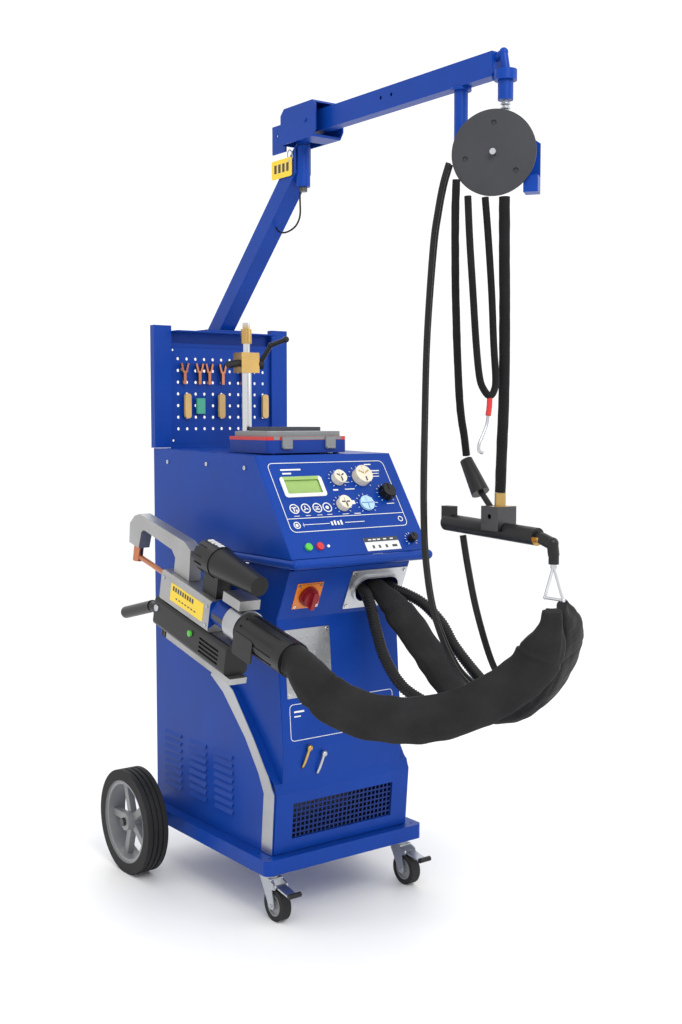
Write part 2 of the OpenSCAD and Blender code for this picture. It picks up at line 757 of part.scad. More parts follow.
module cooling_fan() {
  color("dimgray") translate([0, cab_rear - 28, fan_z]) rotate([90, 0, 0]) {
    cylinder(d = 40, h = 20);
    translate([0, 0, -12]) cylinder(d = fan_shaft_d, h = 13);
    for (a = [0 : 6]) rotate([0, 0, a * 360 / 7]) translate([15, -2, 0]) rotate([30, 0, 0])
      cube([52, 26, 2]);
  }
}

/* ---------- the case and the puller on the console ---------- */

module case_base() {
  color("midnightblue") translate([case_x, case_y, case_z]) difference() {
    rounded_box(case_w, case_d, case_h, 12);
    translate([0, 0, 2.5]) rounded_box(case_w - 6, case_d - 6, case_h, 9);
  }
  color("midnightblue") {
    for (k = [-1, 1]) translate([case_x + k * 90, case_y - 74, case_z - 3.1]) cylinder(d = 14, h = 5);
    // Outer knuckles of the lid's hinge, and its pin
    for (k = [-1, 1]) translate([case_x + k * 60, hinge_y, hinge_z]) knuckle(20, -1);
    translate([case_x, hinge_y, hinge_z]) rotate([0, 90, 0])
      cylinder(d = hinge_pin_d, h = 140, center = true);
  }
}

// Knuckle along the hinge with a leaf up or down to its half of the case
module knuckle(w, side) {
  difference() {
    union() {
      rotate([0, 90, 0]) cylinder(d = 6, h = w, center = true);
      translate([-w / 2, -5, side > 0 ? 0.7 : -2.7]) cube([w, 5, 2]);
    }
    if (side > 0) rotate([0, 90, 0]) cylinder(d = hinge_pin_d + 0.1, h = w + 2, center = true);
  }
}

module case_lid() {
  color("firebrick") translate([case_x, case_y, case_z + case_h + 0.3]) {
    difference() {
      union() {
        rounded_box(case_w, case_d, 8, 12);
        translate([0, 0, 8 - eps]) rounded_box(case_w - 20, case_d - 20, 12, 10);
      }
      translate([0, 0, -1]) rounded_box(case_w - 6, case_d - 6, 7, 9);
      translate([0, 0, 5]) rounded_box(case_w - 26, case_d - 26, 12, 8);
    }
    translate([0, 10, 20 - eps]) rounded_box(150, 90, 10, 4);
  }
  color("firebrick") for (k = [-1, 1]) translate([case_x + k * 38, hinge_y, hinge_z]) knuckle(20, 1);
}

module case_latches() {
  color("darkslategray") for (k = [-1, 1])
    translate([case_x + k * 62, case_y - case_d / 2 - 5.3, case_z + 12]) {
      translate([-14, 0, 0]) cube([28, 5, 26]);
      translate([-12, 0, 0]) rotate([0, 90, 0]) cylinder(d = 6, h = 24);
    }
}

module puller_stand() {
  z0 = console_top + 7.5;
  color("silver") translate([stand_x, stand_y, z0]) {
    cylinder(d = 60, h = 8);
    cylinder(d = 25, h = 200);
    translate([0, 0, 236]) cylinder(d = 18, h = 78);
  }
  color("goldenrod") translate([stand_x, stand_y, z0 + 190]) {
    translate([-26, -20, 0]) cube([52, 40, 50]);
    translate([0, 0, 72]) cylinder(d = 27, h = 36);
  }
  color("black") translate([stand_x - 26, stand_y - 8, z0 + 214]) rotate([0, -100, 0])
    cylinder(d = 18, h = 34);
}

module puller_lever() {
  color("dimgray") translate([stand_x + 26.5, stand_y - 10, lever_z]) {
    rotate([0, 90, 0]) cylinder(d = 26, h = 12);
    rod([6, 0, 0], [20, -30, 46], 12);
    rod([20, -30, 46], [44, -62, 60], 12);
    translate([20, -30, 46]) sphere(d = 14);
    translate([44, -62, 60]) sphere(d = 16);
  }
}

/* ---------- boom ---------- */

module boom_hood() {
  color("royalblue") {
    difference() {
      across(80)
        polygon([[2, hood_z], [2, 1848], [-12, 1862], [-128, 1862], [-140, 1850], [-140, 1795],
          [-128, hood_z]]);
      across(74) polygon([[-1, hood_z - 1], [-1, 1846], [-13, 1859], [-127, 1859], [-150, 1850], [-150, 1796],
        [-129, hood_z + 3], [-100, hood_z + 3], [-60, hood_z - 1]]);
    }
    translate([-22, 2 - eps, 1784]) cube([4, 8, 60]);
    translate([-43, -100, 1821]) rotate([0, 90, 0]) cylinder(d = 8, h = 86);
    difference() {
      translate([-22, 8, 1770]) cube([4, 56, 66]);
      translate([-30, 45, 1812]) rotate([0, 90, 0]) cylinder(d = 8, h = 20);
    }
  }
}

module boom_arm() {
  color("royalblue") {
    difference() {
      union() {
        translate([-arm_w / 2, arm_tip, arm_z]) cube([arm_w, pivot_y + 25 - arm_tip, arm_h]);
        translate([0, pivot_y, arm_z - 17]) cylinder(d = 34, h = 20);
      }
      translate([-arm_w / 2 + 2.5, arm_tip + 4, arm_z + 2.5]) cube([arm_w - 5, 560, arm_h - 5]);
      for (y = [-345, -381]) translate([-50, y, 1825]) rotate([0, 90, 0]) cylinder(d = 8, h = 100);
      translate([-50, -100, 1821]) rotate([0, 90, 0]) cylinder(d = 8.1, h = 100);
    }
    // Guide tube that hangs from the arm, with its flange
    translate([0, -587, arm_z - 6]) cylinder(d = 42, h = 6 + eps);
    translate([0, -587, 1650]) cylinder(d = 28, h = arm_z - 1650);
    // Bent bar and collar at the tip
    rod([0, arm_tip + 6, 1832], [0, -708, 1840], 16);
    translate([0, -708, 1840]) sphere(d = 18);
    rod([0, -708, 1840], [0, -716, 1800], 16);
    rod([0, arm_tip + 4, 1800], [0, -706, 1794], 20);
    translate([0, swivel_y, 1785]) cylinder(d = 44, h = 20);
    translate([0, swivel_y, 1748]) cylinder(d = 30, h = 40);
  }
  color("silver") translate([0, pivot_y, 1672]) cylinder(d = pin_d, h = arm_z - 17 - 1672 + eps);
}

// Swings the balancer's flat side towards the left front
module at_reel() {
  translate(reel_c) rotate([0, 0, reel_turn]) rotate([90, 0, 0]) children();
}

module balancer_bracket() {
  color("silver") {
    translate([0, swivel_y, 1715]) cylinder(d = 10, h = 33 + eps);
    for (i = [0 : 3]) translate([0, swivel_y, 1717 + i * 8]) rotate_extrude() translate([8, 0]) circle(d = 4);
  }
  color("royalblue") {
    translate([-12, swivel_y - 14, 1700]) cube([24, 28, 16]);
    at_reel() translate([0, 0, -26]) linear_extrude(height = 4) polygon([[-26, 64], [22, 64], [84, 20],
      [84, -76], [56, -76], [56, -14], [24, -22], [-26, -22]]);
    at_reel() translate([56, -76, -24]) cube([28, 32, 34]);
    at_reel() translate([-16, 64, -24]) cube([32, 12, 34]);
  }
  color("silver") at_reel() translate([0, 0, -30]) cylinder(d = shaft_d, h = 60);
}

module balancer_reel() {
  color("dimgray") at_reel() difference() {
    union() {
      translate([0, 0, 15]) cylinder(r = reel_r, h = 4);
      translate([0, 0, -18]) cylinder(r = reel_r - 34, h = 34);
      translate([0, 0, -20]) cylinder(r = reel_r - 32, h = 4);
    }
    translate([0, 0, -40]) cylinder(d = shaft_d + 0.1, h = 100);
    for (a = [90, 190, 320]) rotate([0, 0, a]) translate([56, 0, 16]) cylinder(d = 11, h = 10);
  }
}

module hanger_bar() {
  color("dimgray") {
    difference() {
      translate([0, -552, bar_z + 4]) rotate([92.5, 0, 0]) cylinder(d = 35, h = 262);
      translate([-27, -732, 915]) cube([54, 52, 60]);
    }
    translate([0, -610, 1052]) rotate([146, 0, 0]) cylinder(d1 = 26, d2 = 38, h = 78);
    rod([0, -648, 996], [0, -694, 950], 12);
    rod([0, -826, 908], [0, -852, 900], 24);
    rod([0, -852, 902], [0, -856, 878], 22);
    translate([0, -852, 901]) sphere(d = 24);
  }
  color("gray") {
    difference() {
      translate([-25, -730, 916]) cube([50, 48, 48]);
      translate([-40, -706, 944]) rotate([0, 90, 0]) cylinder(d = 10, h = 80);
    }
    translate([-9, -575, bar_z + 12]) cube([18, 30, 26]);
  }
  color("goldenrod") {
    translate([0, -710, 964 - eps]) cylinder(d = 22, h = 26);
    rod([0, -813, 910], [0, -828, 908], 22);
    translate([0, -856, 862]) cylinder(d = 20, h = 18);
  }
}

module carabiner() {
  wire = 6;
  top = [0, -856, 858];
  low_a = [0, -834, 796];
  low_b = [0, -882, 796];
  color("silver") {
    rod(top, low_a, wire);
    rod(low_a, low_b, wire);
    rod(low_b, top, wire);
    for (p = [low_a, low_b]) translate(p) sphere(d = wire + 1.5);
    translate([0, -856, 854]) cylinder(d = 12, h = 8);
  }
}

/* ---------- welding gun ---------- */

// Plane outline in the gun's frame, given thickness across
module gun_plate(t) {
  rotate([90, 0, 0]) linear_extrude(height = t, center = true) children();
}

module gun_c_arm() {
  front = -throat - 128;
  color("silver") on_gun() gun_plate(30)
    polygon([[front + 6, 40], [front, 88], [front + 20, 112], [front + 44, 124], [-60, 124], [-28, 112],
      [-20, 40], [-92, 40], [-92, 74], [-112, 88], [front + 74, 92], [front + 62, 84], [front + 56, 40]]);
  color("brown") on_gun() {
    translate([front + 30, 0, 0]) cylinder(d = 24, h = 40 + eps);
    translate([front + 30, 0, electrode_v + 4]) rotate([0, 90, 0]) cylinder(d = electrode_d, h = 18);
  }
}

module gun_electrode() {
  front = -throat - 128;
  color("peru") on_gun() {
    translate([front + 49, 0, electrode_v + 4]) rotate([0, 90, 0]) cylinder(d = electrode_d, h = -front - 89);
  }
}

module gun_body() {
  color("silver") on_gun() difference() {
    translate([-116, 0, 2.5]) rotate([0, 90, 0]) linear_extrude(height = 226) rounded_rect(73, 66, 8);
    translate([-160, 0, electrode_v + 4]) rotate([0, 90, 0]) cylinder(d = electrode_d + 0.1, h = 165);
  }
  color("silver") on_gun() {
    translate([146, -26, 54.5]) cube([70, 52, 22]);
    translate([-84, -22, -122]) cube([290, 44, 14]);
  }
  color("mediumblue") on_gun() translate([110 - eps, 0, 12]) rotate([0, 90, 0]) cylinder(d = 62, h = 66);
  // Drive housing below, pistol cylinder above, side handle and spring stud
  color("dimgray") on_gun() difference() {
    translate([-140, 0, -71.5 + eps]) rotate([0, 90, 0]) linear_extrude(height = 330)
      rounded_rect(73, 60, 12);
    translate([trigger_u, -31, trigger_v]) rotate([-90, 0, 0]) cylinder(d = trigger_d + 0.1, h = 16);
    // Cooling slots of the drive
    for (k = [0 : 3]) translate([76, -31, -92 + k * 10]) cube([84, 5, 5]);
  }
  color("dimgray") on_gun() {
    translate([20, 0, 118]) rotate([0, 90, 0]) difference() {
      cylinder(d = 74, h = 64);
      for (a = [0 : 11]) rotate([0, 0, a * 30 + 15]) translate([34, -4, -1]) cube([8, 8, 38]);
    }
    translate([84 - eps, 0, 118]) rotate([0, 90, 0]) cylinder(d1 = 70, d2 = 44, h = 160);
    translate([40, -14, 38]) cube([60, 28, 50]);
    rod([-130, 0, -80], [-200, 0, -86], 26);
    translate([-200, 0, -86]) sphere(d = 26);
    rod([-200, 0, -86], [-330, 0, -150], 30);
  }
  // Spring stud with its nuts
  color("silver") on_gun() {
    rod([-84, 0, -116], [-134, 0, -126], 16);
    for (k = [0 : 2]) translate([-104 - k * 12, 0, -120 - k * 2.4]) rotate([0, 90, 0])
      cylinder(d = 26, h = 7, $fn = 6);
  }
}

module gun_trigger() {
  color("green") on_gun() translate([trigger_u, -35, trigger_v]) rotate([-90, 0, 0])
    cylinder(d = trigger_d, h = 14);
}

module gun_tail() {
  color("silver") on_gun() translate([176, 0, 14]) rotate([0, 90, 0]) cylinder(d = 80, h = 46);
  color("dimgray") on_gun() translate([222 - eps, 0, 12]) rotate([0, 90, 0]) difference() {
    cylinder(d = 78, h = 176);
    for (a = [0 : 11]) rotate([0, 0, a * 30]) translate([37, -3, 16]) cube([6, 6, 130]);
  }
}

// Hanger on the left side that carries the gun by its body
module gun_cradle() {
  color("dimgray") {
    translate([-half_w - trim_t - 3, -20, 640]) cube([4.4, 90, 130]);
    translate([-half_w - 60, 6, 690]) cube([60, 40, 8]);
  }
}

/* ---------- fasteners ---------- */

module screw_head(d = 9, h = 3) {
  difference() {
    cylinder(d = d, h = h);
    translate([0, 0, h - 1.2]) cylinder(d = d * 0.5, h = 2, $fn = 6);
  }
}
module fasteners() {
  color("gainsboro") {
    for (x = [-1, 1], y = [-1, 1]) {
      on_switch_panel(outlet_x + x * outlet_screw.x, panel_mid + y * outlet_screw.y) translate([0, 0, 3])
        screw_head();
      on_switch_panel(switch_place.x + x * switch_screw.x, switch_place.y + y * switch_screw.y)
        translate([0, 0, 1.5]) screw_head(7, 2);
      on_waist(chart_place.x + x * chart_screw.x, chart_place.y + y * chart_screw.y) translate([0, 0, 1.5])
        screw_head(8, 2.5);
    }
    for (k = [-1, 1], y = [-80, 90, 280]) translate([k * half_w, y, console_top - (y < 0 ? 28 : 24)])
      rotate([0, k * 90, 0]) screw_head(10, 3);
  }
}

/* ---------- soft lines ---------- */

module sleeve_outlet() {
  color("dimgray") sweep(sleeve_outlet_path, [92, 34], [50, 28], [34, 20], up = [1, 0.2, 0.4], n = 12);
}
module sleeve_gun() {
  color("dimgray") sweep(sleeve_gun_path, [96, 38], [70, 64], [40, 20], flat = [-0.6, -0.8, 0.1], n = 12);
}
module ribbed_hose_left() { color("gray") sweep(ribbed_left_path, [ribbed_d, ribbed_d]); }
module ribbed_hose_right() { color("gray") sweep(ribbed_right_path, [ribbed_d, ribbed_d]); }
module signal_line_a() { color("gray") sweep(signal_a_path, [signal_d, signal_d], up = upright); }
module signal_line_b() { color("gray") sweep(signal_b_path, [signal_d, signal_d], up = upright); }
module reel_cable() { color("gray") sweep(reel_cable_path, [web_d, web_d], up = upright); }
module loop_hose() { color("gray") sweep(loop_hose_path, [loop_d, loop_d], up = [0.3, 1, 0.05]); }
module supply_hose() { color("gray") sweep(supply_hose_path, [supply_d, supply_d], up = upright); }
module drop_hose() { color("gray") sweep(drop_hose_path, [loop_d, loop_d], up = upright); }

/* ---------- assembly ---------- */

placed() chassis();
placed() side_panel_left();
placed() side_panel_right();
placed() side_trims();
placed() front_panel();
placed() front_grille();
placed() rear_panel();
placed() console_shell();
placed() lcd_display();
placed() switch_plate();
placed() face_plates();
placed() tool_rack();
placed() electrode_set();
placed() boom_post();
placed() power_unit();
placed() cooling_fan();
placed() fasteners();
placed() rear_wheel_left();
placed() rear_wheel_right();
placed() caster_fork_left();
placed() caster_fork_right();
placed() caster_wheel_left();
placed() caster_wheel_right();
placed() caster_brake_left();
placed() caster_brake_right();
placed() mode_knob();
placed() power_knob();
placed() time_knob();
placed() program_knob();
placed() dial_disc();
placed() pressure_knob();
placed() main_switch_knob();
placed() start_button();
placed() stop_button();
placed() case_base();
placed() case_lid();
placed() case_latches();
placed() puller_stand();
placed() puller_lever();
placed() boom_arm();
placed() boom_hood();
placed() balancer_bracket();
placed() balancer_reel();
placed() hanger_bar();
placed() carabiner();
placed() gun_c_arm();
placed() gun_electrode();
placed() gun_body();
placed() gun_trigger();
placed() gun_tail();
placed() sleeve_outlet();
placed() sleeve_gun();
placed() ribbed_hose_left();
placed() ribbed_hose_right();
placed() signal_line_a();
placed() signal_line_b();
placed() reel_cable();
placed() loop_hose();
placed() supply_hose();
placed() drop_hose();
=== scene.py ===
import json
import math

import bmesh
import bpy
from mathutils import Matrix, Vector, noise

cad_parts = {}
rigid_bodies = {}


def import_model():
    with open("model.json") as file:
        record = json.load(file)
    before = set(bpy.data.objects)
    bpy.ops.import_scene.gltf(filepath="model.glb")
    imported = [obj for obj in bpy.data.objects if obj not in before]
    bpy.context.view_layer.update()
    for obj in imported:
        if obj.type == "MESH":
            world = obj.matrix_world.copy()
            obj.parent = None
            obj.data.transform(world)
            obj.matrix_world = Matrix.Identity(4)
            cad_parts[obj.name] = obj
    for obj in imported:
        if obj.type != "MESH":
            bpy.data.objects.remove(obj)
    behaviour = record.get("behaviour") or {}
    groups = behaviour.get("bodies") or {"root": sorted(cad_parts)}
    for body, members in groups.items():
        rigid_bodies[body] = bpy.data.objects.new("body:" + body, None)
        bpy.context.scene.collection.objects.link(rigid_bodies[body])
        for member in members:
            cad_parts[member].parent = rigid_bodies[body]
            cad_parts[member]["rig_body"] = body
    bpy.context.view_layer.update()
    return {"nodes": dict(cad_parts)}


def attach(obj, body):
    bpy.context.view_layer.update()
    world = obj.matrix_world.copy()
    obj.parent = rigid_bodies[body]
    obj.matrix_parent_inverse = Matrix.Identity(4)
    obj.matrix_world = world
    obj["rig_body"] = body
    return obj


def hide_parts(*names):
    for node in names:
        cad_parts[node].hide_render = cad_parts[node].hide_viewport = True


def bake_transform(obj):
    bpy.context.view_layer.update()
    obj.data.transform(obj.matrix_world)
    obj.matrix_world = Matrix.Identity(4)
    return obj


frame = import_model()

# Cabinet coordinates are millimetres from the middle of the cabinet on the floor, as in the CAD source
CABINET_Y = 238

# Corners of the folded front, as depth and height
SLOPE_TOP, SLOPE_LOW = (-117, 1052), (-268, 829)
PANEL_TOP, PANEL_FOLD, WAIST_FOOT = (-224, 798), (-172, 682), (-196, 384)

# Centres and directions of the turning and tilted groups
WHEEL_CENTRE = (279, 130)
CASTER_CENTRE = (-198, 37.5)
CASTER_X = 190
PIVOT_Y = -34
REEL_CENTRE = (-18, -706, 1645)
REEL_TURN = math.radians(-53.5)
GUN_CENTRE = (-290, -20, 720)
GUN_TILT = math.radians(13)
LID_Z = 1086.5
CASE_FRONT = -96
DISPLAY_CENTRE = (-94, -165.2)


def at(x, y, z):
    return Vector((x, y + CABINET_Y, z)) / 1000


# ---------- camera ----------

camera_data = bpy.data.cameras.new("camera")
camera_data.lens = 43.73
camera_data.sensor_width = 36
camera_data.clip_start = 0.05
camera = bpy.data.objects.new("camera", camera_data)
bpy.context.scene.collection.objects.link(camera)
camera.location = at(-1718.9, -2488.3, 1136.6)
camera.rotation_euler = (math.radians(90 - 4.30), 0, math.radians(-36.72))
bpy.context.scene.camera = camera


# ---------- materials ----------

def node_tree(name):
    material = bpy.data.materials.new(name)
    material.use_nodes = True
    tree = material.node_tree
    return material, tree, tree.nodes["Principled BSDF"]


def add(tree, kind, **inputs):
    node = tree.nodes.new(kind)
    for key, value in inputs.items():
        node.inputs[key.replace("_", " ")].default_value = value
    return node


def coordinates(tree, stretch=(1, 1, 1), space="Object"):
    coord = tree.nodes.new("ShaderNodeTexCoord")
    mapping = add(tree, "ShaderNodeMapping", Scale=stretch)
    tree.links.new(coord.outputs[space], mapping.inputs["Vector"])
    return mapping.outputs["Vector"]


def vary_colour(tree, shader, colour, factor, amount):
    """Colour that drifts between a darker and a lighter tone with the factor."""
    ramp = tree.nodes.new("ShaderNodeValToRGB")
    dark = [max(0.0, c * (1 - amount)) for c in colour]
    light = [min(1.0, c * (1 + amount)) for c in colour]
    ramp.color_ramp.elements[0].position = 0.3
    ramp.color_ramp.elements[1].position = 0.7
    ramp.color_ramp.elements[0].color = (*dark, 1)
    ramp.color_ramp.elements[1].color = (*light, 1)
    tree.links.new(factor, ramp.inputs["Fac"])
    tree.links.new(ramp.outputs["Color"], shader.inputs["Base Color"])


def vary_roughness(tree, shader, rough, factor, amount):
    span = tree.nodes.new("ShaderNodeMapRange")
    span.inputs["To Min"].default_value = max(0.03, rough - amount)
    span.inputs["To Max"].default_value = min(1.0, rough + amount)
    tree.links.new(factor, span.inputs["Value"])
    tree.links.new(span.outputs["Result"], shader.inputs["Roughness"])


def bump(tree, shader, height, strength, distance):
    node = add(tree, "ShaderNodeBump", Strength=strength, Distance=distance)
    tree.links.new(height, node.inputs["Height"])
    tree.links.new(node.outputs["Normal"], shader.inputs["Normal"])


def surface(name, colour, rough, metallic=0.0, vary=0.08, rough_vary=0.06, grain=900, strength=0.15,
            depth=0.0003, stretch=(1, 1, 1), coat=0.0, drift=9, shine=0.5):
    """A finish with slow colour drift, smudged roughness and a fine surface grain."""
    material, tree, shader = node_tree(name)
    shader.inputs["Metallic"].default_value = metallic
    shader.inputs["Coat Weight"].default_value = coat
    shader.inputs["Specular IOR Level"].default_value = shine
    shader.inputs["Coat Roughness"].default_value = 0.18
    slow = add(tree, "ShaderNodeTexNoise", Scale=drift, Detail=4.0)
    tree.links.new(coordinates(tree), slow.inputs["Vector"])
    fine = add(tree, "ShaderNodeTexNoise", Scale=grain, Detail=3.0)
    tree.links.new(coordinates(tree, stretch), fine.inputs["Vector"])
    vary_colour(tree, shader, colour, slow.outputs["Fac"], vary)
    vary_roughness(tree, shader, rough, fine.outputs["Fac"] if metallic else slow.outputs["Fac"], rough_vary)
    bump(tree, shader, fine.outputs["Fac"], strength, depth)
    return material


def woven(name, colour, pitch=0.0022, strength=0.6):
    """Over-and-under weave along a tube's own length and girth."""
    material, tree, shader = node_tree(name)
    uv = coordinates(tree, space="UV")
    shader.inputs["Sheen Weight"].default_value = 0.06
    shader.inputs["Specular IOR Level"].default_value = 0.12
    bands = []
    for direction in ("X", "Y"):
        wave = add(tree, "ShaderNodeTexWave", Scale=1 / (pitch * 20), Distortion=0.25)
        wave.bands_direction = direction
        tree.links.new(uv, wave.inputs["Vector"])
        bands.append(wave.outputs["Fac"])
    cross = tree.nodes.new("ShaderNodeMath")
    cross.operation = "MULTIPLY"
    tree.links.new(bands[0], cross.inputs[0])
    tree.links.new(bands[1], cross.inputs[1])
    dust = add(tree, "ShaderNodeTexNoise", Scale=14, Detail=6.0)
    tree.links.new(coordinates(tree), dust.inputs["Vector"])
    vary_colour(tree, shader, colour, dust.outputs["Fac"], 0.3)
    vary_roughness(tree, shader, 0.78, dust.outputs["Fac"], 0.1)
    bump(tree, shader, cross.outputs["Value"], strength, 0.0006)
    return material


BLUE = (0.003, 0.044, 0.30)
M = {
    "blue": surface("blue_powder_coat", BLUE, 0.34, vary=0.07, grain=420, strength=0.08, shine=0.16),
    "navy": surface("grille_coat", (0.002, 0.02, 0.14), 0.4, grain=600, shine=0.2),
    "trim": surface("satin_trim", (0.42, 0.43, 0.45), 0.3, 1.0, grain=260, stretch=(8, 8, 0.15)),
    "brushed": surface("brushed_plate", (0.52, 0.53, 0.55), 0.32, 1.0, grain=260, stretch=(0.15, 6, 8)),
    "cast": surface("sand_cast", (0.40, 0.40, 0.40), 0.42, 0.9, vary=0.12, grain=520, strength=0.35),
    "zinc": surface("zinc_plate", (0.5, 0.52, 0.55), 0.34, 1.0, vary=0.1, grain=300),
    "chrome": surface("chrome", (0.6, 0.61, 0.63), 0.1, 1.0, vary=0.03, rough_vary=0.04, grain=200,
                      strength=0.03),
    "steel": surface("dark_steel", (0.09, 0.09, 0.095), 0.38, 1.0, vary=0.12),
    "brass": surface("brass", (0.52, 0.34, 0.12), 0.28, 1.0, vary=0.12),
    "copper": surface("copper", (0.5, 0.2, 0.11), 0.32, 1.0, vary=0.18),
    "black": surface("black_plastic", (0.010, 0.010, 0.011), 0.36, grain=1400, strength=0.2, shine=0.3),
    "grey": surface("grey_plastic", (0.2, 0.21, 0.22), 0.48, grain=1100),
    "rim": surface("rim_plastic", (0.24, 0.245, 0.25), 0.45, grain=700),
    "tyre": surface("tyre_rubber", (0.02, 0.02, 0.021), 0.72, vary=0.25, rough_vary=0.1, grain=700,
                    strength=0.4, shine=0.25),
    "rubber": surface("hose_rubber", (0.009, 0.009, 0.010), 0.42, vary=0.2, grain=900, strength=0.2,
                      shine=0.25),
    "reel": surface("reel_shell", (0.042, 0.043, 0.048), 0.5, vary=0.12, grain=1300, strength=0.5,
                    shine=0.25),
    "cream": surface("cream_plastic", (0.76, 0.7, 0.56), 0.35, grain=900, strength=0.08),
    "pale_blue": surface("dial_plastic", (0.4, 0.62, 0.82), 0.3, grain=900, strength=0.05),
    "white": surface("white_print", (0.78, 0.79, 0.78), 0.4, vary=0.03, grain=900, strength=0.05),
    "ink": surface("print_ink", (0.03, 0.035, 0.05), 0.45, grain=900, strength=0.03),
    "screen": surface("screen", (0.3, 0.48, 0.12), 0.16, vary=0.15, grain=1500, strength=0.02, coat=0.6),
    "orange": surface("orange_enamel", (0.75, 0.2, 0.01), 0.35, grain=700, coat=0.3),
    "red": surface("red_plastic", (0.55, 0.02, 0.02), 0.36, vary=0.1, grain=900),
    "dark_red": surface("dark_red_plastic", (0.25, 0.008, 0.014), 0.36, grain=900),
    "green": surface("green_plastic", (0.08, 0.48, 0.05), 0.3, grain=900),
    "yellow": surface("yellow_label", (0.85, 0.6, 0.02), 0.38, vary=0.04, grain=600, strength=0.05),
    "tan": surface("tan_handle", (0.62, 0.4, 0.14), 0.45, vary=0.15, grain=500),
    "case_blue": surface("case_blue", (0.003, 0.035, 0.25), 0.4, grain=900, shine=0.2),
    "pale": surface("pale_plastic", (0.55, 0.57, 0.58), 0.42, grain=900),
    "teal": surface("teal_plastic", (0.05, 0.36, 0.24), 0.45, grain=900),
    "weave": woven("sleeve_weave", (0.017, 0.017, 0.018)),
    "web": woven("hose_cover_weave", (0.009, 0.009, 0.010), pitch=0.0014),
    "floor": surface("floor", (0.93, 0.93, 0.93), 0.5, vary=0.006, grain=30, strength=0.0),
}


# ---------- building pieces ----------

def piece(name, mesh, materials, body="frame", nodes=()):
    obj = bpy.data.objects.new(name, mesh)
    bpy.context.scene.collection.objects.link(obj)
    for m in materials:
        mesh.materials.append(M[m])
    if body:
        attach(obj, body)
    if nodes:
        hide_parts(*nodes)
    return obj


def smooth_route(points, per_span=10):
    """Points on a Catmull-Rom curve through the route."""
    line = [Vector(p) for p in points]
    padded = [line[0], *line, line[-1]]
    out = []
    for a, b, c, d in zip(padded, padded[1:], padded[2:], padded[3:]):
        for k in range(per_span):
            t = k / per_span
            out.append(0.5 * (2 * b + (c - a) * t + (2 * a - 5 * b + 4 * c - d) * t ** 2
                              + (3 * b - a - 3 * c + d) * t ** 3))
    return [*out, line[-1]]


def spaced(line, step):
    """The same curve, resampled at an even step."""
    reach = [0.0]
    for a, b in zip(line, line[1:]):
        reach.append(reach[-1] + (b - a).length)
    count = max(2, round(reach[-1] / step))
    out, i = [], 0
    for k in range(count + 1):
        s = reach[-1] * k / count
        while i < len(line) - 2 and reach[i + 1] < s:
            i += 1
        t = (s - reach[i]) / max(reach[i + 1] - reach[i], 1e-9)
        out.append(line[i].lerp(line[i + 1], min(t, 1)))
    return out, reach[-1]


def ease(t):
    t = min(max(t, 0.0), 1.0)
    return t * t * (3 - 2 * t)


def tube(name, points, size, first=None, last=None, up=(0.3, 0.2, 1), flat=None, sides=24, step=0.005,
         square=1.0, relief=None, taper=0.1):
    """Closed tube along a route, w across and t thick; relief(s, angle) pushes its skin out in metres."""
    line, length = spaced(smooth_route(points), step)
    up, flat = Vector(up), flat and Vector(flat)
    mesh = bmesh.new()
    uv = mesh.loops.layers.uv.new("cloth")
    rings = []
    for i, p in enumerate(line):
        d = (line[min(i + 1, len(line) - 1)] - line[max(i - 1, 0)]).normalized()
        thick = (flat - flat.dot(d) * d).normalized() if flat else d.cross(up).normalized()
        wide = thick.cross(d)
        s = length * i / (len(line) - 1)
        a, b = ease(s / taper), ease((length - s) / taper)
        w, t = size
        if first:
            w, t = first[0] + (w - first[0]) * a, first[1] + (t - first[1]) * a
        if last:
            w, t = last[0] + (w - last[0]) * b, last[1] + (t - last[1]) * b
        ring = []
        for k in range(sides):
            angle = 2 * math.pi * k / sides
            ca, sa = math.cos(angle), math.sin(angle)
            ca, sa = math.copysign(abs(ca) ** square, ca), math.copysign(abs(sa) ** square, sa)
            offset = thick * (t / 2 * ca) + wide * (w / 2 * sa)
            if relief:
                offset += offset.normalized() * relief(s, angle)
            ring.append(mesh.verts.new(p + offset))
        rings.append(ring)
    girth = math.pi * (size[0] + size[1]) / 2
    for i, (a, b) in enumerate(zip(rings, rings[1:])):
        for k in range(sides):
            n = (k + 1) % sides
            face = mesh.faces.new((a[k], a[n], b[n], b[k]))
            face.smooth = True
            for loop, (u, v) in zip(face.loops, ((k, i), (k + 1, i), (k + 1, i + 1), (k, i + 1))):
                loop[uv].uv = (u / sides * girth, v * length / (len(line) - 1))
    mesh.faces.new(list(reversed(rings[0])))
    mesh.faces.new(rings[-1])
    bmesh.ops.recalc_face_normals(mesh, faces=mesh.faces)
    data = bpy.data.meshes.new(name)
    mesh.to_mesh(data)
    mesh.free()
    return data, line


# ---------- cords ----------


def wrinkled(depth, pitch, seed):
    def relief(s, angle):
        across = noise.noise(Vector((s / pitch, math.cos(angle) * 1.2, math.sin(angle) * 1.2 + seed)))
        along = noise.noise(Vector((s / (pitch * 4), math.cos(angle) * 2.5 + seed, math.sin(angle) * 2.5)))
        return depth * (0.75 * across + 0.5 * along) - depth * 0.3
    return relief


def padded(depth, pitch, seed, folds=()):
    """Wrinkled cover with a sunk seam along both sides and bands where straps hold it."""
    rough = wrinkled(depth, pitch, seed)

    def relief(s, angle):
        side = abs(math.cos(angle))
        seam = math.exp(-((side - 0.42) / 0.07) ** 2) * 0.0022
        band = sum(math.exp(-((s - place) / 0.006) ** 4) * 0.0030 for place in folds)
        return rough(s, angle) - seam - band
    return relief


def ribbed(pitch, depth):
    return lambda s, angle: depth * (0.5 * math.cos(2 * math.pi * s / pitch) - 0.5)


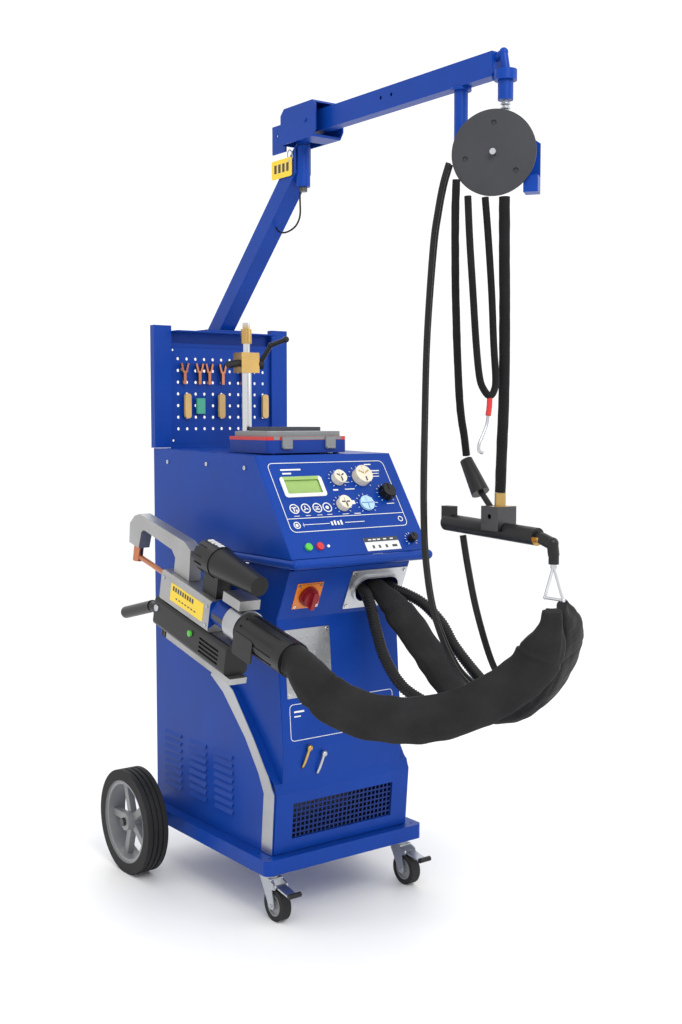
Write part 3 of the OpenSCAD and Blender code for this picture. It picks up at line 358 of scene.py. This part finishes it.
def cord(name, points, size, length, body, material, crossing=False, stiffness="medium", **shape):
    """A soft cord's line that stands for the CAD node of its name; one that crosses the boom's pivot is
    attached to no body and has its place baked into its mesh.
    """
    data, line = tube(name, points, size, **shape)
    obj = piece(name + "_line", data, [material], None if crossing else body, [name])
    if crossing:
        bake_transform(obj)
    return obj


OUTLET_ROUTE = [
    (0.092, 0.050, 0.745), (0.092, 0.022, 0.732), (0.096, -0.010, 0.712), (0.108, -0.044, 0.676),
    (0.132, -0.078, 0.622), (0.150, -0.110, 0.574), (0.158, -0.162, 0.528), (0.160, -0.232, 0.502),
    (0.160, -0.312, 0.500), (0.156, -0.392, 0.522), (0.146, -0.462, 0.566), (0.128, -0.522, 0.628),
    (0.106, -0.562, 0.684), (0.074, -0.592, 0.738), (0.032, -0.610, 0.780)]
GUN_ROUTE = [
    (-0.290, -0.174, 0.642), (-0.290, -0.198, 0.636), (-0.286, -0.224, 0.614), (-0.268, -0.262, 0.580),
    (-0.234, -0.307, 0.553), (-0.190, -0.347, 0.540), (-0.140, -0.384, 0.538), (-0.090, -0.424, 0.548),
    (-0.044, -0.468, 0.574), (-0.006, -0.514, 0.612), (0.008, -0.562, 0.660), (0.002, -0.604, 0.718),
    (-0.014, -0.630, 0.776)]
cord("sleeve_outlet", OUTLET_ROUTE, (0.092, 0.034), 0.93, None, "weave", crossing=True, stiffness="medium",
     first=(0.050, 0.028), last=(0.034, 0.020), up=(1, 0.2, 0.4), square=0.8, sides=40, taper=0.13,
     relief=padded(0.0042, 0.034, 3, (0.09, 0.80)))
cord("sleeve_gun", GUN_ROUTE, (0.096, 0.038), 0.71, None, "weave", crossing=True, stiffness="medium",
     first=(0.070, 0.064), last=(0.040, 0.020), flat=(-0.6, -0.8, 0.1), square=0.8, sides=40, taper=0.12,
     relief=padded(0.0044, 0.032, 8, (0.10, 0.60)))
cord("ribbed_hose_left", [(0.046, 0.050, 0.745), (0.046, 0.022, 0.732), (0.040, -0.006, 0.704),
     (0.034, -0.034, 0.656), (0.034, -0.070, 0.590), (0.050, -0.118, 0.530), (0.088, -0.182, 0.492)],
     (0.028, 0.028), 0.365, "frame", "rubber", step=0.0016, sides=20, relief=ribbed(0.0064, 0.0022))
cord("ribbed_hose_right", [(0.134, 0.050, 0.745), (0.134, 0.024, 0.733), (0.152, -0.002, 0.722),
     (0.178, -0.034, 0.700), (0.206, -0.066, 0.656), (0.222, -0.092, 0.606), (0.236, -0.138, 0.556),
     (0.236, -0.192, 0.522), (0.230, -0.232, 0.508)],
     (0.028, 0.028), 0.406, "frame", "rubber", step=0.0016, sides=20, relief=ribbed(0.0064, 0.0022))
cord("signal_line_a", [(-0.092, -0.416, 1.628), (-0.098, -0.406, 1.590), (-0.102, -0.396, 1.540),
     (-0.104, -0.384, 1.470), (-0.106, -0.370, 1.300), (-0.106, -0.364, 1.130), (-0.106, -0.362, 0.960),
     (-0.098, -0.362, 0.840), (-0.072, -0.362, 0.730), (-0.006, -0.352, 0.620), (0.070, -0.342, 0.556),
     (0.126, -0.328, 0.530)], (0.011, 0.011), 1.20, None, "rubber", crossing=True, up=(1, 0.3, 0.1), sides=12)
cord("signal_line_b", [(-0.078, -0.406, 1.628), (-0.084, -0.396, 1.590), (-0.088, -0.386, 1.540),
     (-0.090, -0.374, 1.470), (-0.092, -0.358, 1.300), (-0.092, -0.352, 1.130), (-0.092, -0.350, 0.960),
     (-0.084, -0.350, 0.840), (-0.058, -0.350, 0.730), (0.008, -0.340, 0.624), (0.082, -0.324, 0.566),
     (0.128, -0.310, 0.536)], (0.011, 0.011), 1.18, None, "rubber", crossing=True, up=(1, 0.3, 0.1), sides=12)
cord("reel_cable", [(-0.082, -0.428, 1.596), (-0.079, -0.422, 1.520), (-0.070, -0.414, 1.400),
     (-0.054, -0.402, 1.280), (-0.032, -0.388, 1.160), (-0.012, -0.379, 1.100), (-0.002, -0.375, 1.062)],
     (0.016, 0.016), 0.545, "boom", "web", up=(1, 0.3, 0.1), sides=20, relief=wrinkled(0.0006, 0.02, 1))
cord("loop_hose", [(-0.074, -0.452, 1.562), (-0.072, -0.456, 1.480), (-0.068, -0.462, 1.380),
     (-0.064, -0.468, 1.280), (-0.060, -0.474, 1.216), (-0.054, -0.480, 1.192), (-0.042, -0.484, 1.180),
     (-0.030, -0.484, 1.192), (-0.025, -0.482, 1.216), (-0.027, -0.478, 1.280), (-0.030, -0.474, 1.380),
     (-0.034, -0.468, 1.480), (-0.038, -0.462, 1.562)],
     (0.014, 0.014), 0.78, "boom", "web", stiffness="limp", up=(0.3, 1, 0.05), sides=20)
cord("supply_hose", [(-0.012, -0.488, 1.562), (-0.010, -0.488, 1.440), (-0.006, -0.486, 1.320),
     (-0.002, -0.482, 1.200), (0.000, -0.476, 1.090), (0.000, -0.472, 0.991)],
     (0.022, 0.022), 0.572, "boom", "web", up=(1, 0.3, 0.1), sides=20, relief=wrinkled(0.0006, 0.02, 5))
cord("drop_hose", [(0.000, -0.364, 0.898), (0.006, -0.374, 0.830), (0.022, -0.384, 0.740),
     (0.056, -0.390, 0.640), (0.092, -0.394, 0.576), (0.112, -0.396, 0.548)],
     (0.014, 0.014), 0.375, None, "rubber", crossing=True, up=(1, 0.3, 0.1), sides=14)


# ---------- CAD nodes that keep their shape ----------

def paint(node, material):
    slots = frame["nodes"][node].material_slots
    if not slots:
        frame["nodes"][node].data.materials.append(M[material])
    for s in frame["nodes"][node].material_slots:
        s.link = "OBJECT"
        s.material = M[material]


for material, nodes in {
    "blue": ["side_panel_right", "rear_panel", "console_shell", "tool_rack", "boom_post",
             "boom_hood"],
    "navy": ["front_grille"],
    "trim": ["side_trims"],
    "orange": ["switch_plate"],
    "brushed": ["face_plates"],
    "steel": ["power_unit"],
    "copper": ["gun_electrode"],
    "black": ["cooling_fan", "time_knob", "pressure_knob", "puller_lever"],
    "chrome": ["fasteners", "carabiner"],
    "zinc": ["caster_fork_left", "caster_fork_right", "caster_brake_left", "caster_brake_right"],
    "cream": ["mode_knob", "power_knob", "program_knob"],
    "pale_blue": ["dial_disc"],
    "dark_red": ["main_switch_knob"],
    "green": ["start_button", "gun_trigger"],
    "red": ["stop_button"],
    "case_blue": ["case_base"],
    "grey": ["case_latches"],
    "reel": ["balancer_reel"],
}.items():
    for node in nodes:
        paint(node, material)


# ---------- CAD nodes with several finishes ----------

def cabinet(p):
    return p.x * 1000, p.y * 1000 - CABINET_Y, p.z * 1000


def gun_place(p):
    """Place in the gun's own frame: u towards the tail, v up."""
    x, y, z = cabinet(p)
    cos, sin = math.cos(GUN_TILT), math.sin(GUN_TILT)
    back, up = -(y - GUN_CENTRE[1]), z - GUN_CENTRE[2]
    return back * cos - up * sin, back * sin + up * cos


def refinish(node, materials, pick):
    """A copy of the node whose faces take the finish that pick names, which stands for the node."""
    body = frame["nodes"][node]["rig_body"]
    data = frame["nodes"][node].data.copy()
    data.materials.clear()
    obj = piece(node + "_finished", data, materials, body, [node])
    for face in data.polygons:
        face.material_index = materials.index(pick(face.center))
    return obj


def tuck_cheeks(obj):
    """Draws the cheeks' lower tips in behind the front panel's crease."""
    for v in obj.data.vertices:
        x, y, z = cabinet(v.co)
        if 150 < abs(x) < 185 and 299 < z < 311 and y < -194:
            v.co = at(x, -191, z)


def wheel_pick(centre, rim_radius):
    def pick(p):
        x, y, z = cabinet(p)
        return "tyre" if math.hypot(y - centre[0], z - centre[1]) > rim_radius else "rim"
    return pick


def chassis_pick(p):
    x, y, z = cabinet(p)
    if 90 < z < 140.5 and -205 < y < -130 and abs(abs(x) - CASTER_X) < 31:
        return "zinc"
    return "steel" if abs(x) > 230 else "blue"


def left_panel_pick(p):
    """The gun's hanger stands out from the panel, high above the louvres."""
    x, y, z = cabinet(p)
    return "black" if x < -196.5 and z > 600 else "blue"


def display_pick(p):
    x, y, z = cabinet(p)
    return "screen" if abs(x - DISPLAY_CENTRE[0]) < 49.8 and abs(y - DISPLAY_CENTRE[1]) < 11.5 else "white"


def stand_pick(p):
    x, y, z = cabinet(p)
    if x < -71.5:
        return "black"
    return "brass" if 1249 < z < 1301 or 1321 < z < 1368 else "chrome"


def arm_pick(p):
    x, y, z = cabinet(p)
    return "steel" if z < 1779 and abs(y - PIVOT_Y) < 20 else "blue"


def bracket_pick(p):
    return "zinc" if cabinet(p)[2] > 1716 or on_shaft(p) else "blue"


def hanger_pick(p):
    x, y, z = cabinet(p)
    if z > 963.9 and y < -698 or -829 < y < -812.5 and 861 < z < 910.5:
        return "brass"
    return "steel" if -730.5 < y < -681 and 915 < z < 964.5 else "black"


def c_arm_pick(p):
    return "copper" if gun_place(p)[1] < 39.8 else "cast"


def tail_pick(p):
    return "trim" if gun_place(p)[0] < 222.5 else "black"


def gun_body_pick(p):
    u, v = gun_place(p)
    if v > 80:
        return "black" if v > 83 or u < 140 else "cast"
    if 109.5 < u < 180 and -20 < v < 44:
        return "case_blue"
    if v > 39.5:
        return "cast" if u > 140 else "black"
    if v > -35.5 and u < 111:
        return "cast"
    return "cast" if v < -107.5 and u > -86 else ("steel" if v < -104 and u > -140 else "black")


def case_lid_pick(p):
    height = p.z * 1000 - LID_Z
    return "ink" if height > 19.9 else ("grey" if height > 8.5 else "red")


def on_shaft(p):
    """Whether a place is on the balancer's shaft."""
    x, y, z = cabinet(p)
    across = (x - REEL_CENTRE[0]) * math.cos(REEL_TURN) + (y - REEL_CENTRE[1]) * math.sin(REEL_TURN)
    return math.hypot(across, z - REEL_CENTRE[2]) < 7


def tool_pick(p):
    x, y, z = cabinet(p)
    if z > 1202:
        return "copper"
    if -84 < x < -56:
        return "teal"
    return "black" if 60 < x < 80 else "tan"


for node, materials, pick in (
    ("rear_wheel_left", ["tyre", "rim"], wheel_pick(WHEEL_CENTRE, 103.5)),
    ("rear_wheel_right", ["tyre", "rim"], wheel_pick(WHEEL_CENTRE, 103.5)),
    ("caster_wheel_left", ["tyre", "rim"], wheel_pick(CASTER_CENTRE, 26)),
    ("caster_wheel_right", ["tyre", "rim"], wheel_pick(CASTER_CENTRE, 26)),
    ("chassis", ["blue", "zinc", "steel"], chassis_pick),
    ("side_panel_left", ["blue", "black"], left_panel_pick),
    ("lcd_display", ["white", "screen"], display_pick),
    ("electrode_set", ["copper", "tan", "teal", "black"], tool_pick),
    ("case_lid", ["red", "grey", "ink"], case_lid_pick),
    ("puller_stand", ["chrome", "brass", "black"], stand_pick),
    ("boom_arm", ["blue", "steel"], arm_pick),
    ("balancer_bracket", ["blue", "zinc"], bracket_pick),
    ("hanger_bar", ["black", "steel", "brass"], hanger_pick),
    ("gun_c_arm", ["cast", "copper"], c_arm_pick),
    ("gun_body", ["cast", "black", "case_blue", "steel"], gun_body_pick),
    ("gun_tail", ["trim", "black"], tail_pick),
):
    refinish(node, materials, pick)
tuck_cheeks(refinish("front_panel", ["blue"], lambda p: "blue"))


# ---------- console front ----------

SLOPE = math.atan2(SLOPE_TOP[1] - SLOPE_LOW[1], SLOPE_TOP[0] - SLOPE_LOW[0])
ALONG = Vector((0, -math.cos(SLOPE), -math.sin(SLOPE)))
OUT = Vector((0, -math.sin(SLOPE), math.cos(SLOPE)))


def console(x, s, h=0.0):
    """Place on the console: x across, s down the slope, h above it, all in millimetres."""
    return at(x, *SLOPE_TOP) + (ALONG * s + OUT * (h + 1)) / 1000


def rounded_outline(x0, s0, x1, s1, r, n=6):
    centres = ((x1 - r, s1 - r, 0), (x0 + r, s1 - r, 90), (x0 + r, s0 + r, 180), (x1 - r, s0 + r, 270))
    return [(cx + r * math.cos(math.radians(a + 90 * k / n)), cs + r * math.sin(math.radians(a + 90 * k / n)))
            for cx, cs, a in centres for k in range(n + 1)]


def ring_outline(cx, cs, r, n=40, start=0, turn=360):
    angles = [math.radians(start + turn * k / n) for k in range(n)]
    return [(cx + r * math.cos(a), cs + r * math.sin(a)) for a in angles]


def prints(name, shapes, place, material, low, high, body="frame"):
    """Thin raised prints: each shape is an outline that is lifted from low to high."""
    mesh = bmesh.new()
    for outline in shapes:
        lower = [mesh.verts.new(place(a, b, low)) for a, b in outline]
        upper = [mesh.verts.new(place(a, b, high)) for a, b in outline]
        mesh.faces.new(lower)
        mesh.faces.new(upper)
        for k in range(len(outline)):
            n = (k + 1) % len(outline)
            mesh.faces.new((lower[k], lower[n], upper[n], upper[k]))
    bmesh.ops.recalc_face_normals(mesh, faces=mesh.faces)
    data = bpy.data.meshes.new(name)
    mesh.to_mesh(data)
    mesh.free()
    return piece(name, data, [material], body)


def bar(x0, s0, x1, s1):
    return [(x0, s0), (x1, s0), (x1, s1), (x0, s1)]


def spoke(cx, cs, angle, r0, r1, w):
    c, s = math.cos(math.radians(angle)), math.sin(math.radians(angle))
    return [(cx + r0 * c - w * s, cs + r0 * s + w * c), (cx + r1 * c - w * s, cs + r1 * s + w * c),
            (cx + r1 * c + w * s, cs + r1 * s - w * c), (cx + r0 * c + w * s, cs + r0 * s - w * c)]


def outlines(name, pairs, place, material, low, high, body="frame"):
    """Raised outlines: each pair is an outer and an inner outline with as many points."""
    mesh = bmesh.new()
    for outer, inner in pairs:
        rings = [[mesh.verts.new(place(a, b, h)) for a, b in line] for line, h in
                 ((outer, low), (outer, high), (inner, high), (inner, low))]
        for one, two in zip(rings, rings[1:] + rings[:1]):
            for k in range(len(outer)):
                n = (k + 1) % len(outer)
                mesh.faces.new((one[k], one[n], two[n], two[k]))
    bmesh.ops.recalc_face_normals(mesh, faces=mesh.faces)
    data = bpy.data.meshes.new(name)
    mesh.to_mesh(data)
    mesh.free()
    return piece(name, data, [material], body)


def rim(cx, cs, r, w):
    return ring_outline(cx, cs, r), ring_outline(cx, cs, r - w)


KEYS = (-141, -110, -78, -50)
outlines("console_outline",
         [(rounded_outline(-171, 21, 164, 203, 14), rounded_outline(-169.4, 22.6, 162.4, 201.4, 12.4))],
         console, "white", -0.2, 0.4)
outlines("console_key_rims",
         [rim(x, 143, 12.5, 2.4) for x in KEYS] + [rim(-150, 185, 9, 2.2), rim(147, 184, 7, 2)],
         console, "white", -0.2, 0.9)
prints("console_key_marks", [bar(-147, 138, -135, 141), bar(-144, 138, -141, 150), bar(-138, 145, -134, 150)]
       + [spoke(-110, 143, a, 1, 7, 1.4) for a in (20, 140, 260)]
       + [bar(-84, 139, -72, 141), bar(-84, 145, -72, 148), bar(-79.5, 139, -76.5, 148)]
       + [ring_outline(-50, 143, 4.5)]
       + [bar(x - 7, 161, x + 7, 162.4) for x in KEYS]
       + [ring_outline(-150, 185, 4), bar(-134, 184, -60, 185.4), bar(-132, 180, -131, 190)]
       + [bar(-56 + 9 * k, 180 - k % 2 * 2, -51 + 9 * k, 190) for k in range(4)] + [bar(-16, 184, 40, 185.6)]
       + [bar(-140, 38, -84, 42), bar(-138, 48, -114, 52)]
       + [bar(98, 48, 142, 51), bar(98, 56, 138, 58), bar(104, 64, 136, 66), bar(104, 30, 124, 33)]
       + [bar(24, 62, 42, 63.4), bar(26, 78, 40, 79.4), bar(20, 96, 48, 98.5), bar(-14, 96, 0, 100)]
       + [bar(18, 128, 34, 138), bar(20, 162, 38, 164), bar(-14, 162, 4, 163.5), bar(92, 136, 100, 137.5),
          bar(126, 140, 148, 142)], console, "white", -0.2, 0.4)
prints("console_plate", [bar(16, 229, 115, 263)], console, "white", -0.2, 0.6)
prints("console_plate_marks", [bar(16, 229, 115, 240)] + [bar(x, 249, x + 6, 257) for x in (34, 52, 72)]
       + [bar(92, 250, 106, 256)], console, "ink", 0.5, 0.9)
prints("console_plate_light", [bar(x, 233, x + 9, 236) for x in (28, 41, 54, 72, 92)], console, "white",
       0.8, 1.1)
ticks = []
for cx, cs, r in ((9, 70, 21), (77, 68, 28), (133, 114, 22), (-5, 139, 21), (65, 139, 24), (154, 240, 14)):
    ticks += [spoke(cx, cs, -225 + 27 * k, r, r + 4, 0.6) for k in range(11)]
prints("console_dial_ticks", ticks, console, "white", -0.2, 0.5)
prints("console_divider", [bar(-169, 167, 163, 168.6)], console, "white", -0.2, 0.4)
prints("console_lamp", [ring_outline(-88, 243, 3.4)], console, "white", -0.2, 3)
for name, (x, s), r, h, body in (("mode", (9, 70), 15, 17.2, "mode_knob"),
                                 ("power", (77, 68), 21, 21.2, "power_knob"),
                                 ("program", (-5, 139), 15, 17.2, "program_knob")):
    prints(name + "_knob_mark", [spoke(x, s, 90, r - 12, r - 1, 1.1)], console, "ink", h, h + 1.9, body)
    arms = (0, 180, 270) if name == "program" else (210, 330)
    prints(name + "_knob_cap", [spoke(x, s, a, 1.5, r - 4, 1.6) for a in arms], console,
           "brass" if name == "power" else "ink", h - 1, h + 0.5, body)
prints("dial_cross", [spoke(65, 139, a, 1, 17, 0.7) for a in (0, 90, 180, 270)], console, "case_blue", 6.5,
       7.4, "dial_disc")
LOBES = [k * math.pi / 4 for k in range(8)]
prints("time_knob_lobes",
       [ring_outline(133 + 17 * math.cos(a), 114 + 17 * math.sin(a), 4.4, 14) for a in LOBES],
       console, "black", 3, 17, "time_knob")


# ---------- plates, case, gun label, post fittings ----------

def folded(foot, head):
    """Places on a folded panel from its foot to its head: x across, s up the face, h out of it."""
    angle = math.atan2(head[1] - foot[1], head[0] - foot[0])
    cos, sin = math.cos(angle), math.sin(angle)
    return lambda x, s, h: at(x, foot[0] + s * cos - (h + 1) * sin, foot[1] + s * sin + (h + 1) * cos)


switch_face = folded(PANEL_FOLD, PANEL_TOP)
waist_face = folded(WAIST_FOOT, PANEL_FOLD)
prints("chart_marks", [bar(-92 + x, 196 + z, -92 + x + 13, 196 + z + h) for x, z, h in
                       ((44, 52, 12), (44, 22, 12), (44, -14, 9), (42, -40, 9), (42, -62, 5))],
       waist_face, "grey", 1.2, 1.9)
prints("switch_marks", [bar(-137 + 10 * k, 89, -131 + 10 * k, 90.5) for k in range(6)]
       + [bar(-137 + 52 * k, 29, -128 + 52 * k, 31) for k in range(2)], switch_face, "ink", 1.2, 1.8)
outlines("waist_outline",
         [(rounded_outline(-150, 20, 150, 104, 10), rounded_outline(-148.6, 21.4, 148.6, 102.6, 8.6))],
         waist_face, "white", -0.2, 0.4)
prints("waist_marks", [bar(-138, 84, -110, 88), bar(-138, 74, -120, 77), bar(120, 84, 140, 88),
                       bar(30, 50, 90, 52), bar(30, 62, 70, 64), ring_outline(108, 58, 9)],
       waist_face, "white", -0.2, 0.4)


def rod_piece(name, points, d, material, body, sides=18, relief=None):
    data, line = tube(name, points, (d, d), sides=sides, step=0.003, relief=relief)
    return piece(name, data, [material], body)


def ball_tip(radius, length, reach):
    """Rounded swelling at the far end of a rod."""
    def relief(s, angle):
        k = (s - (length - reach)) / reach
        return radius * math.sqrt(max(0.0, 1 - (2 * k - 1) ** 2)) if 0 < k < 1 else 0.0
    return relief


for tag, x, z, material in (("a", -119, 360, "brass"), ("b", -78, 340, "zinc")):
    foot = at(x, -196, z - 20)
    bend, tip = foot + Vector((0.004, -0.006, 0.016)), foot + Vector((0.018, -0.008, 0.052))
    rod_piece("test_rod_" + tag, [foot, bend, tip], 0.007, material, "frame",
              relief=ball_tip(0.004, 0.055, 0.012))


def case_top(x, y, h):
    return at(x, y, LID_Z + h)


def case_front(x, z, h):
    return at(x, CASE_FRONT - h, z)


BANDS = ((-92, 32), (44, 66), (-128, -112))
prints("lid_top_panel", [rounded_outline(-126, -84, 66, 68, 8)], case_top, "pale", 19.8, 20.5, "case_lid")
prints("lid_front_bands", [bar(a, 1087.2, b, 1094) for a, b in BANDS], case_front, "grey", -0.2, 0.6,
       "case_lid")
prints("lid_edge_bands", [bar(a, -95.6, b, -85.5) for a, b in BANDS], case_top, "grey", 7.9, 8.6, "case_lid")


def on_gun(u, v, w=0.0):
    """Place in the gun's frame, w towards the machine's left."""
    cos, sin = math.cos(GUN_TILT), math.sin(GUN_TILT)
    return at(GUN_CENTRE[0] - w, GUN_CENTRE[1] - u * cos - v * sin, GUN_CENTRE[2] - u * sin + v * cos)


def gun_side(depth):
    """Places on a face that lies so far out on the gun's left side."""
    return lambda u, v, h: on_gun(u, v, depth + h)


BOX_SIDE, COLLAR_SIDE, TAIL_SIDE = gun_side(33), gun_side(29), gun_side(38)
prints("gun_label", [rounded_outline(-66, -18, 84, 24, 2)], BOX_SIDE, "yellow", -0.2, 0.5)
prints("gun_label_marks", [bar(-56 + 11 * k, 8, -49 + 11 * k, 19) for k in range(9)]
       + [bar(-40 + 14 * k, -8, -32 + 14 * k, -5) for k in range(7)], BOX_SIDE, "ink", 0.4, 0.8)
prints("gun_box_screws", [ring_outline(98, v, 4, 20) for v in (-20, 24)] + [ring_outline(-102, 24, 4, 20)],
       BOX_SIDE, "zinc", -0.2, 2.2)
rod_piece("handle_screw", [on_gun(-128, -62, w) for w in (20, 26, 33)], 0.016, "zinc", "frame")
prints("collar_slot", [bar(118, 4, 170, 16)], COLLAR_SIDE, "ink", -1.5, 2.6)
prints("cylinder_label", [bar(28 + 14 * k, -7, 38 + 14 * k, 7) for k in range(4)],
       lambda u, w, h: on_gun(u, 155 + h, w), "white", -2.5, 0.6)
prints("tail_flap", [rounded_outline(226, -34, 300, 18, 6)], TAIL_SIDE, "black", -2, 2.2)

prints("rack_flanges", [bar(-152, 1319, 152, 1330), bar(-152, 1060, 152, 1073)],
       lambda x, z, h: at(x, 345 - h, z), "blue", 0, 2)
prints("post_tag", [rounded_outline(-24, 1709, 61, 1753, 5)], lambda y, z, h: at(-25 - h, y, z), "yellow",
       0, 1.4)
prints("post_tag_marks", [bar(-12 + 17 * k, 1722, -2 + 17 * k, 1742) for k in range(4)],
       lambda y, z, h: at(-26.4 - h, y, z), "ink", -0.2, 0.3)
ring_points = [at(-24 - 2 * math.cos(k * math.pi / 6), -14 + 10 * math.sin(k * math.pi / 6),
                  1757 + 12 * math.cos(k * math.pi / 6)) for k in range(13)]
rod_piece("tag_ring", ring_points, 0.0032, "zinc", "frame", sides=12)
rod_piece("tag_eye", [at(x, -14, 1745) for x in (-18, -22, -27)], 0.006, "zinc", "frame")
POST_WIRE = ((-20, 1686), (-21, 1655), (-21, 1620), (-8, 1600), (13, 1590), (38, 1586), (59, 1588),
             (76, 1596), (80, 1610), (70, 1618), (57, 1626))
rod_piece("post_wire", [at(0, y, z) for y, z in POST_WIRE], 0.0045, "black", "frame", sides=12)
rod_piece("snap_sleeve", [at(-42, -722, 1180), at(-43, -722, 1160), at(-46, -722, 1142)], 0.011, "red",
          "boom")
rod_piece("snap_hook", [at(-46, -722, 1144), at(-50, -722, 1124), at(-62, -723, 1102), at(-70, -724, 1090),
                        at(-72, -724, 1076), at(-62, -724, 1070)], 0.006, "zinc", "boom")
for side, sign in (("left", -1), ("right", 1)):
    tread = [at(sign * CASTER_X + x, -266, 78) for x in (-16, 0, 16)]
    rod_piece("brake_tread_" + side, tread, 0.012, "black", "caster_brake_" + side)


# ---------- stage ----------

floor_mesh = bpy.data.meshes.new("floor")
floor_mesh.from_pydata([(-60, -60, 0), (60, -60, 0), (60, 60, 0), (-60, 60, 0)], [], [(0, 1, 2, 3)])
floor = bpy.data.objects.new("floor", floor_mesh)
bpy.context.scene.collection.objects.link(floor)
floor_mesh.materials.append(M["floor"])

world = bpy.data.worlds.new("studio")
bpy.context.scene.world = world
world.use_nodes = True
world.node_tree.nodes["Background"].inputs["Color"].default_value = (1, 1, 1, 1)
world.node_tree.nodes["Background"].inputs["Strength"].default_value = 1.08
bpy.context.scene.view_settings.view_transform = "Standard"


def area_light(name, place, target, size, power):
    data = bpy.data.lights.new(name, "AREA")
    data.size = size
    data.energy = power
    obj = bpy.data.objects.new(name, data)
    bpy.context.scene.collection.objects.link(obj)
    obj.location = place
    obj.rotation_euler = (Vector(target) - Vector(place)).to_track_quat("-Z", "Y").to_euler()


area_light("key", (-0.8, -2.8, 3.4), (0, 0, 0.8), 1.6, 60)
area_light("fill", (2.6, -2.4, 2.4), (0, 0, 0.9), 2.4, 16)
area_light("back", (0.5, 3.2, 2.8), (0, 0, 1.0), 2.0, 16)
